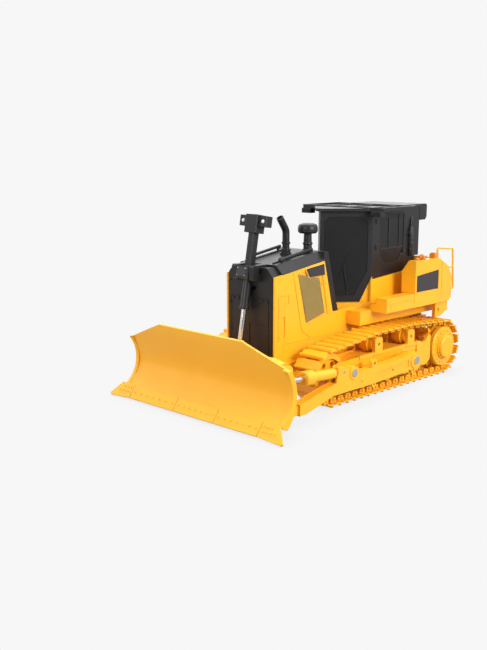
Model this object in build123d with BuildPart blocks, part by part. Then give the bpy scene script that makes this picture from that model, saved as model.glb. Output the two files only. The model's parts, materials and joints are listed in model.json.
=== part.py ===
from build123d import *
import math
import os

# Radio-control toy bulldozer, about 1:24.  Millimetres.
# +Z up, -Y is forward (towards the blade), +X is the machine's left side.
# Origin: on the ground, midway along and across the whole machine.
# Paired pieces are built on the left and mirrored.  A named place is (y, z) unless noted.

# ================================================================= DRIVING DIMENSIONS
SIDES = (1, -1)           # left, right
CUT = Mode.SUBTRACT
RUN = 0.06                # radial running clearance
SHAFT_R = 2.0             # sprocket axle, idler pin, cross shaft and lift trunnion
PIN_R = 1.2               # roller, tilt and lift rod pins
BLADE_PIN_R = 1.5

# Tracks
TRACK_X = 43.0            # track centre line from the machine's centre plane
SHOE_W = 22.0
SPROCKET = (105.5, 22.5)
IDLER = (-36.0, 21.5)
CARRIERS = ((17.4, 37.3), (59.6, 37.3))   # upper rollers
ROLLERS = ((3.0, 10.7), (34.0, 10.7), (65.0, 10.7))   # lower rollers
TEETH = 14                # sprocket teeth
PITCH_OFF = 3.56          # pin line to grouser tip
LINK_IN = 2.0             # pin line to the links' running face
CARRIER_R = 5.5
ROLLER_R = 5.0
SPROCKET_PITCH_R = SPROCKET[1] - PITCH_OFF
IDLER_PITCH_R = IDLER[1] - PITCH_OFF
FRAME_X0, FRAME_X1 = 32.0, 51.0           # inner and outer faces of the track frame
CHEEK = 1.7               # thickness of the frame's side plates

# Push arms and cylinders
ARM_X = 60.5              # push arm centre plane
ARM_HALF = 3.5            # half thickness of a push arm
TRUNNION = (49.1, 22.0)   # cross shaft that the push arms swing on
YOKE = (-67.9, 96.0)      # lift cylinder's trunnion
LIFT_PIN = (-81.7, 20.0)  # lift rod's lower pin
BLADE_PIVOT = (-105.5, 9.0)   # ball ends of the push arms
TILT_REAR = (-38.5, 27.4)     # tilt cylinder's rear pin
TILT_FRONT = (-99.5, 31.0)    # tilt rod's front pin

# Hull and body
HULL_X = 26.5             # half width of the lower hull
HULL_Z0, HULL_Z1 = 9.0, 44.0
HULL_Y0, HULL_Y1 = -58.0, 119.5
WALL = 2.0
HOOD_X = 24.0             # half width of the engine enclosure
CAB_X = 27.0              # half width of the cab
CAB_Y0, CAB_YC, CAB_Y1 = 9.4, 40.0, 97.0   # centre post, front corners, rear wall
CAB_Z0, CAB_Z1 = 64.04, 134.0
DECK_Z0, DECK_Z1 = 59.9, 64.0
FENDER_Z = 69.7           # top of the fenders

os.makedirs("parts", exist_ok=True)


# ================================================================= HELPERS
# The shape helpers draw into whichever BuildPart block calls them.
def span(side, inner, outer):
    """An x range given from the centre plane outwards, on one side of the machine."""
    return sorted((side * inner, side * outer))


def polar(centre, radius, angle):
    """Point in the YZ plane; the angle is in radians from +Y towards +Z."""
    return centre[0] + radius * math.cos(angle), centre[1] + radius * math.sin(angle)


def tilted_plane(x, place, direction):
    """Plane at (x, place) whose normal points along direction, a (y, z) vector."""
    return Plane(origin=(x, *place), x_dir=(1, 0, 0), z_dir=(0, *direction))


def block(x0, x1, y0, y1, z0, z1, mode=Mode.ADD):
    with Locations(((x0 + x1) / 2, (y0 + y1) / 2, (z0 + z1) / 2)):
        Box(x1 - x0, y1 - y0, z1 - z0, mode=mode)


def prism(plane, points, length, mode=Mode.ADD):
    with BuildSketch(plane) as outline:
        with BuildLine():
            Polyline(*points, close=True)
        make_face()
    extrude(outline.sketch, amount=length, mode=mode)


def prism_yz(points, x0, x1, mode=Mode.ADD):
    prism(Plane.YZ.offset(x0), points, x1 - x0, mode)


def prism_xz(points, y0, y1, mode=Mode.ADD):
    prism(Plane.XZ.offset(-y0), points, y0 - y1, mode)


def prism_xy(points, z0, z1, mode=Mode.ADD):
    prism(Plane.XY.offset(z0), points, z1 - z0, mode)


def rod(plane, radius, length, at=(0, 0), mode=Mode.ADD):
    with BuildSketch(plane) as disc:
        with Locations(at):
            Circle(radius)
    extrude(disc.sketch, amount=length, mode=mode)


def rod_x(y, z, radius, x0, x1, mode=Mode.ADD):
    rod(Plane.YZ.offset(x0), radius, x1 - x0, (y, z), mode)


def rod_y(x, z, radius, y0, y1, mode=Mode.ADD):
    rod(Plane.XZ.offset(-y0), radius, y0 - y1, (x, z), mode)


def rod_z(x, y, radius, z0, z1, mode=Mode.ADD):
    rod(Plane.XY.offset(z0), radius, z1 - z0, (x, y), mode)


def both_sides(part, mode=Mode.ADD):
    """Put a part and its mirror image into the current block."""
    add(part, mode=mode)
    add(mirror(part, about=Plane.YZ, mode=Mode.PRIVATE), mode=mode)


def save(name, part):
    part.label = name
    export_step(part, "parts/" + name + ".step")


def save_pair(name, left_part):
    """Save a left-hand piece and its mirror image."""
    with BuildPart() as right:
        mirror(left_part, about=Plane.YZ)
    save("left_" + name, left_part)
    save("right_" + name, right.part)


# ================================================================= TRACK PATH
def track_path():
    """Pitch line as ('line', p, q, normal) and ('arc', centre, r, a0, a1) pieces,
    run anticlockwise seen from +X."""
    carrier_pitch_r = CARRIER_R + 0.14 + LINK_IN
    circles = [(IDLER, IDLER_PITCH_R), (SPROCKET, SPROCKET_PITCH_R),
               (CARRIERS[1], carrier_pitch_r), (CARRIERS[0], carrier_pitch_r)]
    tangents = []
    for k in range(4):
        (c0, r0), (c1, r1) = circles[k], circles[(k + 1) % 4]
        heading = math.atan2(c1[1] - c0[1], c1[0] - c0[0])
        lean = math.asin((r0 - r1) / math.dist(c0, c1))
        normal = heading - math.pi / 2 + lean      # outward, to the right of travel
        tangents.append((polar(c0, r0, normal), polar(c1, r1, normal), normal))
    pieces = []
    for k in range(4):
        start, end, normal = tangents[k]
        pieces.append(("line", start, end, normal))
        next_normal = tangents[(k + 1) % 4][2]
        while next_normal < normal - 1e-9:
            next_normal += 2 * math.pi
        centre, radius = circles[(k + 1) % 4]
        pieces.append(("arc", centre, radius, normal, next_normal))
    return pieces


def piece_length(piece):
    if piece[0] == "line":
        return math.dist(piece[1], piece[2])
    return piece[2] * (piece[4] - piece[3])


def path_point(pieces, travel):
    """Point on the pitch line after some travel, and the outward normal angle there."""
    for piece in pieces:
        length = piece_length(piece)
        if travel <= length + 1e-9:
            if piece[0] == "line":
                t = travel / length
                _, p, q, normal = piece
                return (p[0] + (q[0] - p[0]) * t, p[1] + (q[1] - p[1]) * t), normal
            _, centre, radius, start, _ = piece
            angle = start + travel / radius
            return polar(centre, radius, angle), angle
        travel -= length


PATH = track_path()
LOOP = sum(piece_length(piece) for piece in PATH)
SHOES = round(LOOP / (2 * math.pi * SPROCKET_PITCH_R / TEETH))
PITCH = LOOP / SHOES

# ================================================================= UNDERCARRIAGE
# One shoe: a flat pad with a raised grouser bar near its leading edge, and link lugs
# that run on the rollers either side of a central slot for the teeth.
with BuildPart() as shoe:
    prism_yz([(-3.9, 1.2), (4.0, 1.2), (4.0, 2.0), (-2.3, 2.3), (-2.3, PITCH_OFF),
              (-3.3, PITCH_OFF), (-3.9, 2.3)], -SHOE_W / 2, SHOE_W / 2)
    for side in SIDES:
        prism_yz([(-3.3, 1.2), (-3.3, 0.2), (-2.4, -LINK_IN), (2.4, -LINK_IN), (3.3, 0.2),
                  (3.3, 1.2)], *span(side, 3.8, 6.2))
        rod_x(0, -0.3, 0.8, *span(side, 6.2, 7.0))
    # corner notches that leave the stepped outer edge of each shoe
    for side in SIDES:
        block(*span(side, SHOE_W / 2 - 2.2, SHOE_W / 2 + 1), 3.0, 5.0, 0.5, 3.0, mode=CUT)

# On each shoe local Z is the outward normal and local Y is opposite to travel round the loop.
shoe_places = []
for k in range(SHOES):
    place, normal = path_point(PATH, (k + 0.5) * PITCH)
    direction = (math.cos(normal), math.sin(normal))
    shoe_places.append(tilted_plane(TRACK_X, place, direction).location)
with BuildPart() as track_shoes:
    with Locations(*shoe_places):
        add(shoe.part)
save_pair("track_shoes", track_shoes.part)

# Sprocket: toothed ring in the track's central slot, drum, and bolted final drive disc outside.
TOOTH_RING = 2.6          # half width of the toothed ring
# one tooth: (radius, angle in radians from the tooth's centre)
TOOTH = [(14.6, -0.155), (17.2, -0.10), (19.5, -0.035),
         (19.5, 0.035), (17.2, 0.10), (14.6, 0.155)]
with BuildPart() as sprocket:
    rod_x(*SPROCKET, 15.2, TRACK_X - TOOTH_RING, TRACK_X + TOOTH_RING)
    with BuildSketch(Plane.YZ.offset(TRACK_X - TOOTH_RING)):
        for k in range(TEETH):
            centre_angle = k * 2 * math.pi / TEETH
            with BuildLine():
                Polyline(*[polar(SPROCKET, r, centre_angle + t) for r, t in TOOTH], close=True)
            make_face()
    extrude(amount=2 * TOOTH_RING)
    rod_x(*SPROCKET, 10.0, 31.0, 49.0)
    rod_x(*SPROCKET, 13.0, 44.5, 49.0)
    rod_x(*SPROCKET, 16.0, 49.0, 53.2)
    chamfer(faces().filter_by(Plane.YZ).sort_by(Axis.X)[-1].edges(), 0.7)
    rod_x(*SPROCKET, 10.2, 53.2, 54.6)
    rod_x(*SPROCKET, 9.2, 54.6, 57.0)
    fillet(faces().filter_by(Plane.YZ).sort_by(Axis.X)[-1].edges(), 1.4)
    # bolt heads
    with BuildSketch(Plane.YZ.offset(53.2)):
        with Locations(SPROCKET):
            with PolarLocations(12.9, 16):
                Circle(0.75)
    extrude(amount=0.6)
    rod_x(*SPROCKET, SHAFT_R + 0.03, 30.0, 52.0, mode=CUT)
save_pair("sprocket", sprocket.part)

# Front idler: a wheel with a centre flange between the link lugs, pierced web and hub.
IDLER_R = IDLER_PITCH_R - LINK_IN - 0.1
IDLER_HALF = 6.1
with BuildPart() as idler:
    rod_x(*IDLER, IDLER_R, TRACK_X - IDLER_HALF, TRACK_X + IDLER_HALF)
    rod_x(*IDLER, 12.8, TRACK_X + 3.8, TRACK_X + 6.2, mode=CUT)
    rod_x(*IDLER, 12.8, TRACK_X - 6.2, TRACK_X - 3.8, mode=CUT)
    rod_x(*IDLER, IDLER_R + 1.7, TRACK_X - 2.6, TRACK_X + 2.6)
    rod_x(*IDLER, 5.0, TRACK_X - IDLER_HALF, TRACK_X + IDLER_HALF)
    with BuildSketch(Plane.YZ.offset(TRACK_X - 8)):
        with Locations(IDLER):
            with PolarLocations(9.0, 6):
                Circle(2.1)
    extrude(amount=16, mode=CUT)
    rod_x(*IDLER, SHAFT_R + RUN, TRACK_X - 8, TRACK_X + 8, mode=CUT)
save_pair("idler", idler.part)

# Upper carrier rollers: treads either side of a guide flange.
for k, (y, z) in enumerate(CARRIERS):
    with BuildPart() as roller:
        rod_x(y, z, CARRIER_R, TRACK_X - 6.0, TRACK_X + 6.0)
        rod_x(y, z, CARRIER_R + 1.4, TRACK_X - 2.6, TRACK_X + 2.6)
        rod_x(y, z, 2.6, TRACK_X - 7.4, TRACK_X + 6.15)
        rod_x(y, z, PIN_R + RUN, TRACK_X - 9, TRACK_X + 9, mode=CUT)
    save_pair("carrier_roller_%d" % (k + 1), roller.part)

# Lower track rollers: two treads with a waist between them for the sprocket slot.
for k, (y, z) in enumerate(ROLLERS):
    with BuildPart() as roller:
        rod_x(y, z, ROLLER_R, TRACK_X - 6.2, TRACK_X - 3.4)
        rod_x(y, z, ROLLER_R, TRACK_X + 3.4, TRACK_X + 6.2)
        rod_x(y, z, ROLLER_R - 1.3, TRACK_X - 3.4, TRACK_X + 3.4)
        rod_x(y, z, PIN_R + RUN, TRACK_X - 9, TRACK_X + 9, mode=CUT)
    save_pair("track_roller_%d" % (k + 1), roller.part)

# Track frame: box beam inside the loop with roller cheeks, idler fork, carrier brackets
# and rear guard.
BEAM = [(-17.2, 16.6), (84.0, 16.6), (84.0, 27.0), (77.0, 30.4), (2.0, 30.4), (-4.0, 28.0),
        (-17.2, 26.4)]
FRAME_CHEEK = [(-13.0, 9.6), (-7.0, 8.2), (72.0, 8.2), (80.0, 13.0), (82.0, 27.0),
               (75.0, 30.6), (-5.0, 31.0), (-29.0, 30.6), (-36.0, 26.4), (-40.2, 24.4),
               (-40.2, 18.6), (-34.0, 17.0), (-22.0, 16.0)]
REAR_GUARD = [(70.5, 12.6), (80.0, 11.0), (84.0, 12.0), (87.4, 14.6), (87.9, 20.0),
              (87.6, 27.0), (88.4, 33.2), (85.6, 35.8), (80.4, 30.2), (68.0, 29.8)]
with BuildPart() as left_track_frame:
    prism_yz(BEAM, FRAME_X0 + 1.6, FRAME_X1 - 1.6)
    for x0, x1 in ((FRAME_X0, FRAME_X0 + CHEEK), (FRAME_X1 - CHEEK, FRAME_X1)):
        prism_yz(FRAME_CHEEK, x0, x1)
    # carrier brackets with rounded tops
    for x0, x1 in ((FRAME_X0, FRAME_X0 + CHEEK), (FRAME_X1 - CHEEK, FRAME_X1 + 1.2)):
        for y, z in CARRIERS:
            prism_yz([(y - 4.6, 30.0), (y - 4.6, z + 3.6), (y - 3.8, z + 4.9),
                      (y - 2.4, z + 5.4), (y + 2.4, z + 5.4), (y + 3.8, z + 4.9),
                      (y + 4.6, z + 3.6), (y + 4.6, 30.0)], x0, x1)
            prism_yz([(y - 6.6, 29.6), (y - 4.6, 32.2), (y + 4.6, 32.2), (y + 6.6, 29.6)],
                     x0, x1)
    # outer lip along the top of the beam
    prism_yz([(-5.0, 29.0), (76.0, 29.0), (73.0, 31.6), (-5.0, 31.6)],
             FRAME_X1 - 3.0, FRAME_X1 + 0.6)
    # rear guard ahead of the sprocket, its upper corner turned up into a horn
    prism_yz(REAR_GUARD, FRAME_X1 - 2.0, FRAME_X1 + 0.8)
    # trunnion seat
    rod_x(*TRUNNION, 5.4, FRAME_X0, FRAME_X1 + 4.4)
    # recessed panels on the outer face
    for y0, y1 in ((-16.0, -2.0), (26.0, 41.0), (58.0, 75.0)):
        block(FRAME_X1 - 0.5, FRAME_X1 + 0.1, y0, y1, 19.0, 25.5, mode=CUT)
    # pockets and pin holes for the rollers, then the idler and trunnion holes
    for y, z in ROLLERS:
        rod_x(y, z, ROLLER_R + 0.5, FRAME_X0 + CHEEK, FRAME_X1 - CHEEK, mode=CUT)
        rod_x(y, z, PIN_R, FRAME_X0 - 1, FRAME_X1 + 1, mode=CUT)
    for y, z in CARRIERS:
        rod_x(y, z, CARRIER_R + 2.0, FRAME_X0 + CHEEK, FRAME_X1 - CHEEK, mode=CUT)
        rod_x(y, z, PIN_R, FRAME_X0 - 1, FRAME_X1 + 3, mode=CUT)
    rod_x(*IDLER, SHAFT_R, FRAME_X0 - 1, FRAME_X1 + 1, mode=CUT)
    rod_x(*TRUNNION, SHAFT_R + RUN, FRAME_X0 - 1, FRAME_X1 + 6, mode=CUT)
    # arms that tie the frame to the hull
    for y0, y1 in ((2.0, 14.0), (66.0, 80.0)):
        block(HULL_X + 0.02, FRAME_X0, y0, y1, 18.0, 26.0)
with BuildPart() as track_frames:
    both_sides(left_track_frame.part)
save("track_frames", track_frames.part)

# ================================================================= DRIVE TRAIN
GEAR_M = 0.6              # gear module
PRESSURE_ANGLE = math.radians(25.0)
BACKLASH = 0.12
ADDENDUM, DEDENDUM = 0.8, 1.1   # in modules
FLANK_STEPS = 4
N_AXLE, N_SMALL, N_BIG, N_PINION = 30, 10, 34, 10
N_SECTOR, N_LIFT = 60, 12
TO_REDUCER = 122.0        # direction from the axle to the reduction gear, degrees
TO_MOTOR = 178.0          # direction from the reduction gear to the motor
TO_LIFT = 140.0           # direction from the cross shaft to the lift motor
MOTOR_R = 7.75
MOTOR_FLAT = 6.2          # motor axis to the flats of its can
MOTOR_SHAFT_R = 0.8
GEAR_PIN_R = 1.0          # reduction gear pin and lift motor shaft


def mesh_place(centre, teeth_a, teeth_b, degrees):
    """Centre of a gear that meshes with one at centre."""
    distance = GEAR_M * (teeth_a + teeth_b) / 2 + 0.02
    return polar(centre, distance, math.radians(degrees))


REDUCER = mesh_place(SPROCKET, N_AXLE, N_SMALL, TO_REDUCER)
MOTOR = mesh_place(REDUCER, N_BIG, N_PINION, TO_MOTOR)
LIFT_MOTOR = mesh_place(TRUNNION, N_SECTOR, N_LIFT, TO_LIFT)


def involute(angle):
    return math.tan(angle) - angle


def gear(teeth, centre, phase, x0, x1):
    """Involute spur gear; a tooth is centred at angle phase (degrees from +Y towards +Z)."""
    pitch_r = GEAR_M * teeth / 2
    base_r = pitch_r * math.cos(PRESSURE_ANGLE)
    tip_r = pitch_r + ADDENDUM * GEAR_M
    root_r = pitch_r - DEDENDUM * GEAR_M
    half = math.pi / (2 * teeth) - BACKLASH / (4 * pitch_r) + involute(PRESSURE_ANGLE)
    start_r = max(base_r, root_r)
    flank = []            # (radius, angle from the tooth's centre)
    if root_r < base_r:
        flank.append((root_r, half))
    for i in range(FLANK_STEPS + 1):
        r = start_r + (tip_r - start_r) * i / FLANK_STEPS
        flank.append((r, half - involute(math.acos(min(1.0, base_r / r)))))
    points = []
    for k in range(teeth):
        middle = math.radians(phase) + 2 * math.pi * k / teeth
        points += [polar(centre, r, middle - a) for r, a in flank]
        points += [polar(centre, r, middle + a) for r, a in reversed(flank)]
    prism_yz(points, x0, x1)


def facing_phase(teeth, degrees):
    """Phase that puts a tooth gap opposite to the given direction."""
    return degrees + 180 + 180 / teeth


with BuildPart() as drive_axle:
    gear(N_AXLE, SPROCKET, TO_REDUCER, 20.0, 23.4)
    rod_x(*SPROCKET, 3.4, 19.6, 24.2)
    rod_x(*SPROCKET, SHAFT_R, 19.6, 51.6)
save_pair("drive_axle", drive_axle.part)

with BuildPart() as reduction_gear:
    gear(N_SMALL, REDUCER, facing_phase(N_SMALL, TO_REDUCER), 18.6, 23.6)
    gear(N_BIG, REDUCER, TO_MOTOR, 15.4, 18.6)
    rod_x(*REDUCER, GEAR_PIN_R + RUN, 15.0, 24.0, mode=CUT)
save_pair("reduction_gear", reduction_gear.part)

with BuildPart() as motor_pinion:
    gear(N_PINION, MOTOR, facing_phase(N_PINION, TO_MOTOR), 14.8, 19.2)
    rod_x(*MOTOR, MOTOR_SHAFT_R + 0.02, 14.0, 20.0, mode=CUT)
    rod_x(*MOTOR, MOTOR_SHAFT_R, 2.4, 19.2)
save_pair("motor_pinion", motor_pinion.part)

# Lift drive: a motor pinion works a toothed sector on the push arms' cross shaft.
with BuildPart() as lift_sector_gear:
    gear(N_SECTOR, TRUNNION, TO_LIFT, -1.8, 1.8)
    wedge = [polar(TRUNNION, 30, math.radians(a)) for a in (123, 140, 157, 174)]
    prism_yz([TRUNNION] + wedge, -1.8, 1.8, mode=Mode.INTERSECT)
    rod_x(*TRUNNION, 4.6, -3.4, 3.4)
    rod_x(*TRUNNION, SHAFT_R + 0.01, -4, 4, mode=CUT)
save("lift_sector_gear", lift_sector_gear.part)

with BuildPart() as lift_pinion:
    gear(N_LIFT, LIFT_MOTOR, facing_phase(N_LIFT, TO_LIFT), -2.4, 2.4)
    rod_x(*LIFT_MOTOR, GEAR_PIN_R, 2.0, 6.5)
save("lift_pinion", lift_pinion.part)


def motor(centre, shaft_r, can, boss, bore):
    """Motor can with two flats, front boss and shaft bore; the last three are x ranges."""
    y, z = centre
    rod_x(y, z, MOTOR_R, *can)
    rod_x(y, z, 2.6, *boss)
    rod_x(y, z, shaft_r + RUN, *bore, mode=CUT)
    block(*can, y - 9, y + 9, z + MOTOR_FLAT, z + 9, mode=CUT)
    block(*can, y - 9, y + 9, z - 9, z - MOTOR_FLAT, mode=CUT)


with BuildPart() as gear_motors:
    for side in SIDES:
        motor(MOTOR, MOTOR_SHAFT_R, span(side, 1.2, 13.4), span(side, 13.4, 14.4),
              span(side, 2.0, 14.5))
    motor(LIFT_MOTOR, GEAR_PIN_R, (5.0, 20.0), (3.6, 5.0), (3.0, 7.0))
save("gear_motors", gear_motors.part)

# Fixed pins that the idlers, rollers and reduction gears turn on.
with BuildPart() as axle_pins:
    for side in SIDES:
        frame_span = span(side, FRAME_X0, FRAME_X1 + 0.6)
        rod_x(*IDLER, SHAFT_R - 0.02, *frame_span)
        for y, z in CARRIERS + ROLLERS:
            rod_x(y, z, PIN_R - 0.02, *frame_span)
        rod_x(*REDUCER, GEAR_PIN_R, *span(side, 13.9, 26.4))
save("axle_pins", axle_pins.part)

# ================================================================= LOWER HULL
BAT_X, BAT_Y0, BAT_Y1 = 23.0, -52.5, -4.5   # battery opening: half width, front, rear
DOOR_SCREW_Y = BAT_Y1 + 4.0
REBATE_Z = HULL_Z0 + 1.2
SWITCH_Y = 20.0
with BuildPart() as main_chassis:
    prism_yz([(HULL_Y0, 16.0), (HULL_Y0 + 4, HULL_Z0), (HULL_Y1 - 6, HULL_Z0), (HULL_Y1, 15.0),
              (HULL_Y1, HULL_Z1), (HULL_Y0, HULL_Z1)], -HULL_X, HULL_X)
    prism_yz([(HULL_Y0 + WALL, 16.0), (HULL_Y0 + WALL + 3.0, HULL_Z0 + WALL),
              (HULL_Y1 - WALL - 5.4, HULL_Z0 + WALL), (HULL_Y1 - WALL, 15.8),
              (HULL_Y1 - WALL, HULL_Z1 + 1), (HULL_Y0 + WALL, HULL_Z1 + 1)],
             -HULL_X + WALL, HULL_X - WALL, mode=CUT)
    # upper sides set in so that they run flush with the engine enclosure
    for side in SIDES:
        block(*span(side, 22.0, 24.6), HULL_Y0 + 1.0, 90.0, 28.0, HULL_Z1)
        block(*span(side, 24.0, 28.0), HULL_Y0 - 1.0, 90.0, 31.0, HULL_Z1 + 1, mode=CUT)
    # battery opening with a rebate for its door
    block(-BAT_X + 1.5, BAT_X - 1.5, BAT_Y0 + 1.5, BAT_Y1 - 1.5, 8, 12, mode=CUT)
    block(-BAT_X, BAT_X, BAT_Y0, BAT_Y1, 8, REBATE_Z, mode=CUT)
    # cell compartment walls
    block(-BAT_X + 0.2, BAT_X - 0.2, BAT_Y1 - 1.3, BAT_Y1 + 0.3, 11, 26)
    block(-BAT_X + 0.2, BAT_X - 0.2, BAT_Y0 - 0.7, BAT_Y0 + 0.9, 11, 26)
    # screw boss for the door
    block(-4, 4, BAT_Y1 + 0.2, BAT_Y1 + 8, 10.9, 16)
    rod_z(0, DOOR_SCREW_Y, 1.3, 8, 15, mode=CUT)
    rod_z(0, DOOR_SCREW_Y, 2.6, 8, REBATE_Z, mode=CUT)
    # power switch slot
    block(-2.2, 2.2, SWITCH_Y - 5.0, SWITCH_Y + 5.0, 8, 12, mode=CUT)
    # motor cradles and circuit board posts
    cradle_drop = MOTOR_FLAT + 0.1
    for side in SIDES:
        block(*span(side, 3.0, 12.0), MOTOR[0] - 4, MOTOR[0] + 4, 11, MOTOR[1] - cradle_drop)
        for y in (-48.0, -2.0):
            block(*span(side, 20.5, 24.6), y - 3.0, y + 3.0, 26.4, 30.0)
    block(6.0, 19.0, LIFT_MOTOR[0] - 4, LIFT_MOTOR[0] + 4, 11, LIFT_MOTOR[1] - cradle_drop)
    for side in SIDES:
        # axle boss and bore
        rod_x(*SPROCKET, 6.0, *span(side, HULL_X - 0.5, 30.4))
        rod_x(*SPROCKET, SHAFT_R + RUN, *span(side, HULL_X - WALL - 0.4, 30.8), mode=CUT)
        # outer hole and inner post for the reduction gear's pin
        rod_x(*REDUCER, GEAR_PIN_R + 0.02, *span(side, 23.0, 27.0), mode=CUT)
        block(*span(side, 12.0, 14.6), REDUCER[0] - 2.0, REDUCER[0] + 2.0, 11, REDUCER[1] + 2.4)
        rod_x(*REDUCER, GEAR_PIN_R + 0.02, *span(side, 13.6, 15.0), mode=CUT)
    rod_x(*TRUNNION, SHAFT_R + RUN, -30, 30, mode=CUT)
    # bolt plate on the tail
    block(-9, 9, HULL_Y1 - 0.5, HULL_Y1 + 1.5, 13.5, 25)
    # notch for the battery door's tongue
    block(-3.2, 3.2, BAT_Y1 - 0.6, BAT_Y1 + 4.2, 8, REBATE_Z, mode=CUT)
save("main_chassis", main_chassis.part)

# Drawbar: a tongue with an upright pin hole for towing.
DRAWBAR_Y = HULL_Y1 + 1.52
with BuildPart() as drawbar:
    prism_xy([(-6, DRAWBAR_Y), (6, DRAWBAR_Y), (4.6, 125.6), (2.8, 127.8), (-2.8, 127.8),
              (-4.6, 125.6)], 16.6, 20.6)
    block(-6.6, 6.6, DRAWBAR_Y, HULL_Y1 + 3.0, 14.2, 23.6)
    rod_z(0, 125.0, 1.6, 12, 26, mode=CUT)
save("drawbar", drawbar.part)

# ================================================================= BATTERY, BOARD, SWITCH
CELL_X = [-16.2 + 10.8 * k for k in range(4)]
DOOR_Z1 = HULL_Z0 + 1.1
with BuildPart() as battery_door:
    block(-BAT_X + 0.2, BAT_X - 0.2, BAT_Y0 + 0.2, BAT_Y1 - 0.2, HULL_Z0, DOOR_Z1)
    block(-BAT_X + 1.8, BAT_X - 1.8, BAT_Y0 + 1.8, BAT_Y1 - 1.8, DOOR_Z1, HULL_Z0 + 1.8)
    # tongue with the screw hole
    block(-3.0, 3.0, BAT_Y1 - 0.4, BAT_Y1 + 1.2, HULL_Z0, DOOR_Z1)
    rod_z(0, DOOR_SCREW_Y, 2.5, HULL_Z0, DOOR_Z1)
    block(-2.4, 2.4, BAT_Y1, DOOR_SCREW_Y, HULL_Z0, DOOR_Z1)
    rod_z(0, DOOR_SCREW_Y, 1.15, 8, 12, mode=CUT)
    # grip grooves
    for k in range(5):
        block(-8, 8, -34 + 2.4 * k, -33 + 2.4 * k, HULL_Z0 - 0.1, HULL_Z0 + 0.4, mode=CUT)
    # the screw
    rod_z(0, DOOR_SCREW_Y, 1.05, HULL_Z0 + 0.1, 14.6)
save("battery_door", battery_door.part)

with BuildPart() as battery_cells:
    for k, x in enumerate(CELL_X):
        rod_y(x, 16.5, 5.1, -50.2, -7.2)
        # neighbouring cells have their nipples at opposite ends
        rod_y(x, 16.5, 1.8, *((-7.2, -6.35) if k % 2 else (-51.05, -50.2)))
save("battery_cells", battery_cells.part)

with BuildPart() as battery_contacts:
    for x in CELL_X:
        block(x - 4, x + 4, -51.55, -51.1, 12.4, 20.6)
        block(x - 4, x + 4, -6.3, -5.85, 12.4, 20.6)
save("battery_contacts", battery_contacts.part)

BOARD_Z1 = 31.5
with BuildPart() as circuit_board:
    block(-21.5, 21.5, -50.5, 6, 30.05, BOARD_Z1)
    block(-9, 3, -30, -18, BOARD_Z1, 33.6)
    block(8, 15, -40, -32, BOARD_Z1, 33.0)
    block(-18, -12, -12, 0, BOARD_Z1, 36.0)
    for x in (-2, 4, 10):
        rod_z(x, -6, 2.2, BOARD_Z1, 37.5)
save("circuit_board", circuit_board.part)

with BuildPart() as power_switch:
    block(-1.9, 1.9, SWITCH_Y - 3.0, SWITCH_Y - 0.4, 8.0, 11.4)
    block(-3.4, 3.4, SWITCH_Y - 4.2, SWITCH_Y + 0.8, 11.4, 13.0)
save("power_switch", power_switch.part)

# ================================================================= ENGINE BODY
# Engine enclosure: side panels joined by a raked rear wall.
ENCLOSURE_SIDE = [(-67.0, 24.2), (-67.0, 92.5), (-13.45, 100.1), (-6.3, 73.2), (-3.2, 61.3),
                  (6.9, 61.3), (6.9, 44.14), (-58.1, 44.14), (-58.1, 24.2)]
ENCLOSURE_INSIDE = [(-68.0, 20.0), (-68.0, 103.0), (-15.6, 103.0), (-8.2, 73.2),
                    (-5.1, 59.5), (8.0, 59.5), (8.0, 20.0)]
with BuildPart() as engine_enclosure:
    prism_yz(ENCLOSURE_SIDE, -HOOD_X, HOOD_X)
    prism_yz(ENCLOSURE_INSIDE, -HOOD_X + 1.8, HOOD_X - 1.8, mode=CUT)
    for side in SIDES:
        x0, x1 = span(side, HOOD_X - 0.6, HOOD_X + 1)
        # recessed frame of the cooling screen
        prism_yz([(-41.0, 93.4), (-16.8, 96.2), (-8.9, 60.0), (-31.4, 54.6)], x0, x1, mode=CUT)
        # latch slot near the front
        with BuildSketch(Plane.YZ.offset(x0)) as slot:
            with Locations((-58.4, 56.2)):
                RectangleRounded(4.2, 16.0, 1.2)
        extrude(slot.sketch, amount=x1 - x0, mode=CUT)
        # door seams and the bent groove ahead of the screen
        seam = span(side, HOOD_X - 0.35, HOOD_X + 1)
        block(*seam, -63.6, -63.2, 46.5, 78.6, mode=CUT)
        block(*seam, -63.6, -52.6, 78.4, 78.8, mode=CUT)
        block(*seam, -52.8, -52.4, 73.0, 78.8, mode=CUT)
        prism_yz([(-48.3, 94.8), (-47.9, 94.8), (-38.2, 51.6), (-27.6, 44.6), (-28.2, 44.5),
                  (-38.7, 51.4)], *seam, mode=CUT)
    fillet(edges().filter_by(Axis.Z).group_by(Axis.Y)[0], 0.6)
save("engine_enclosure", engine_enclosure.part)

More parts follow.
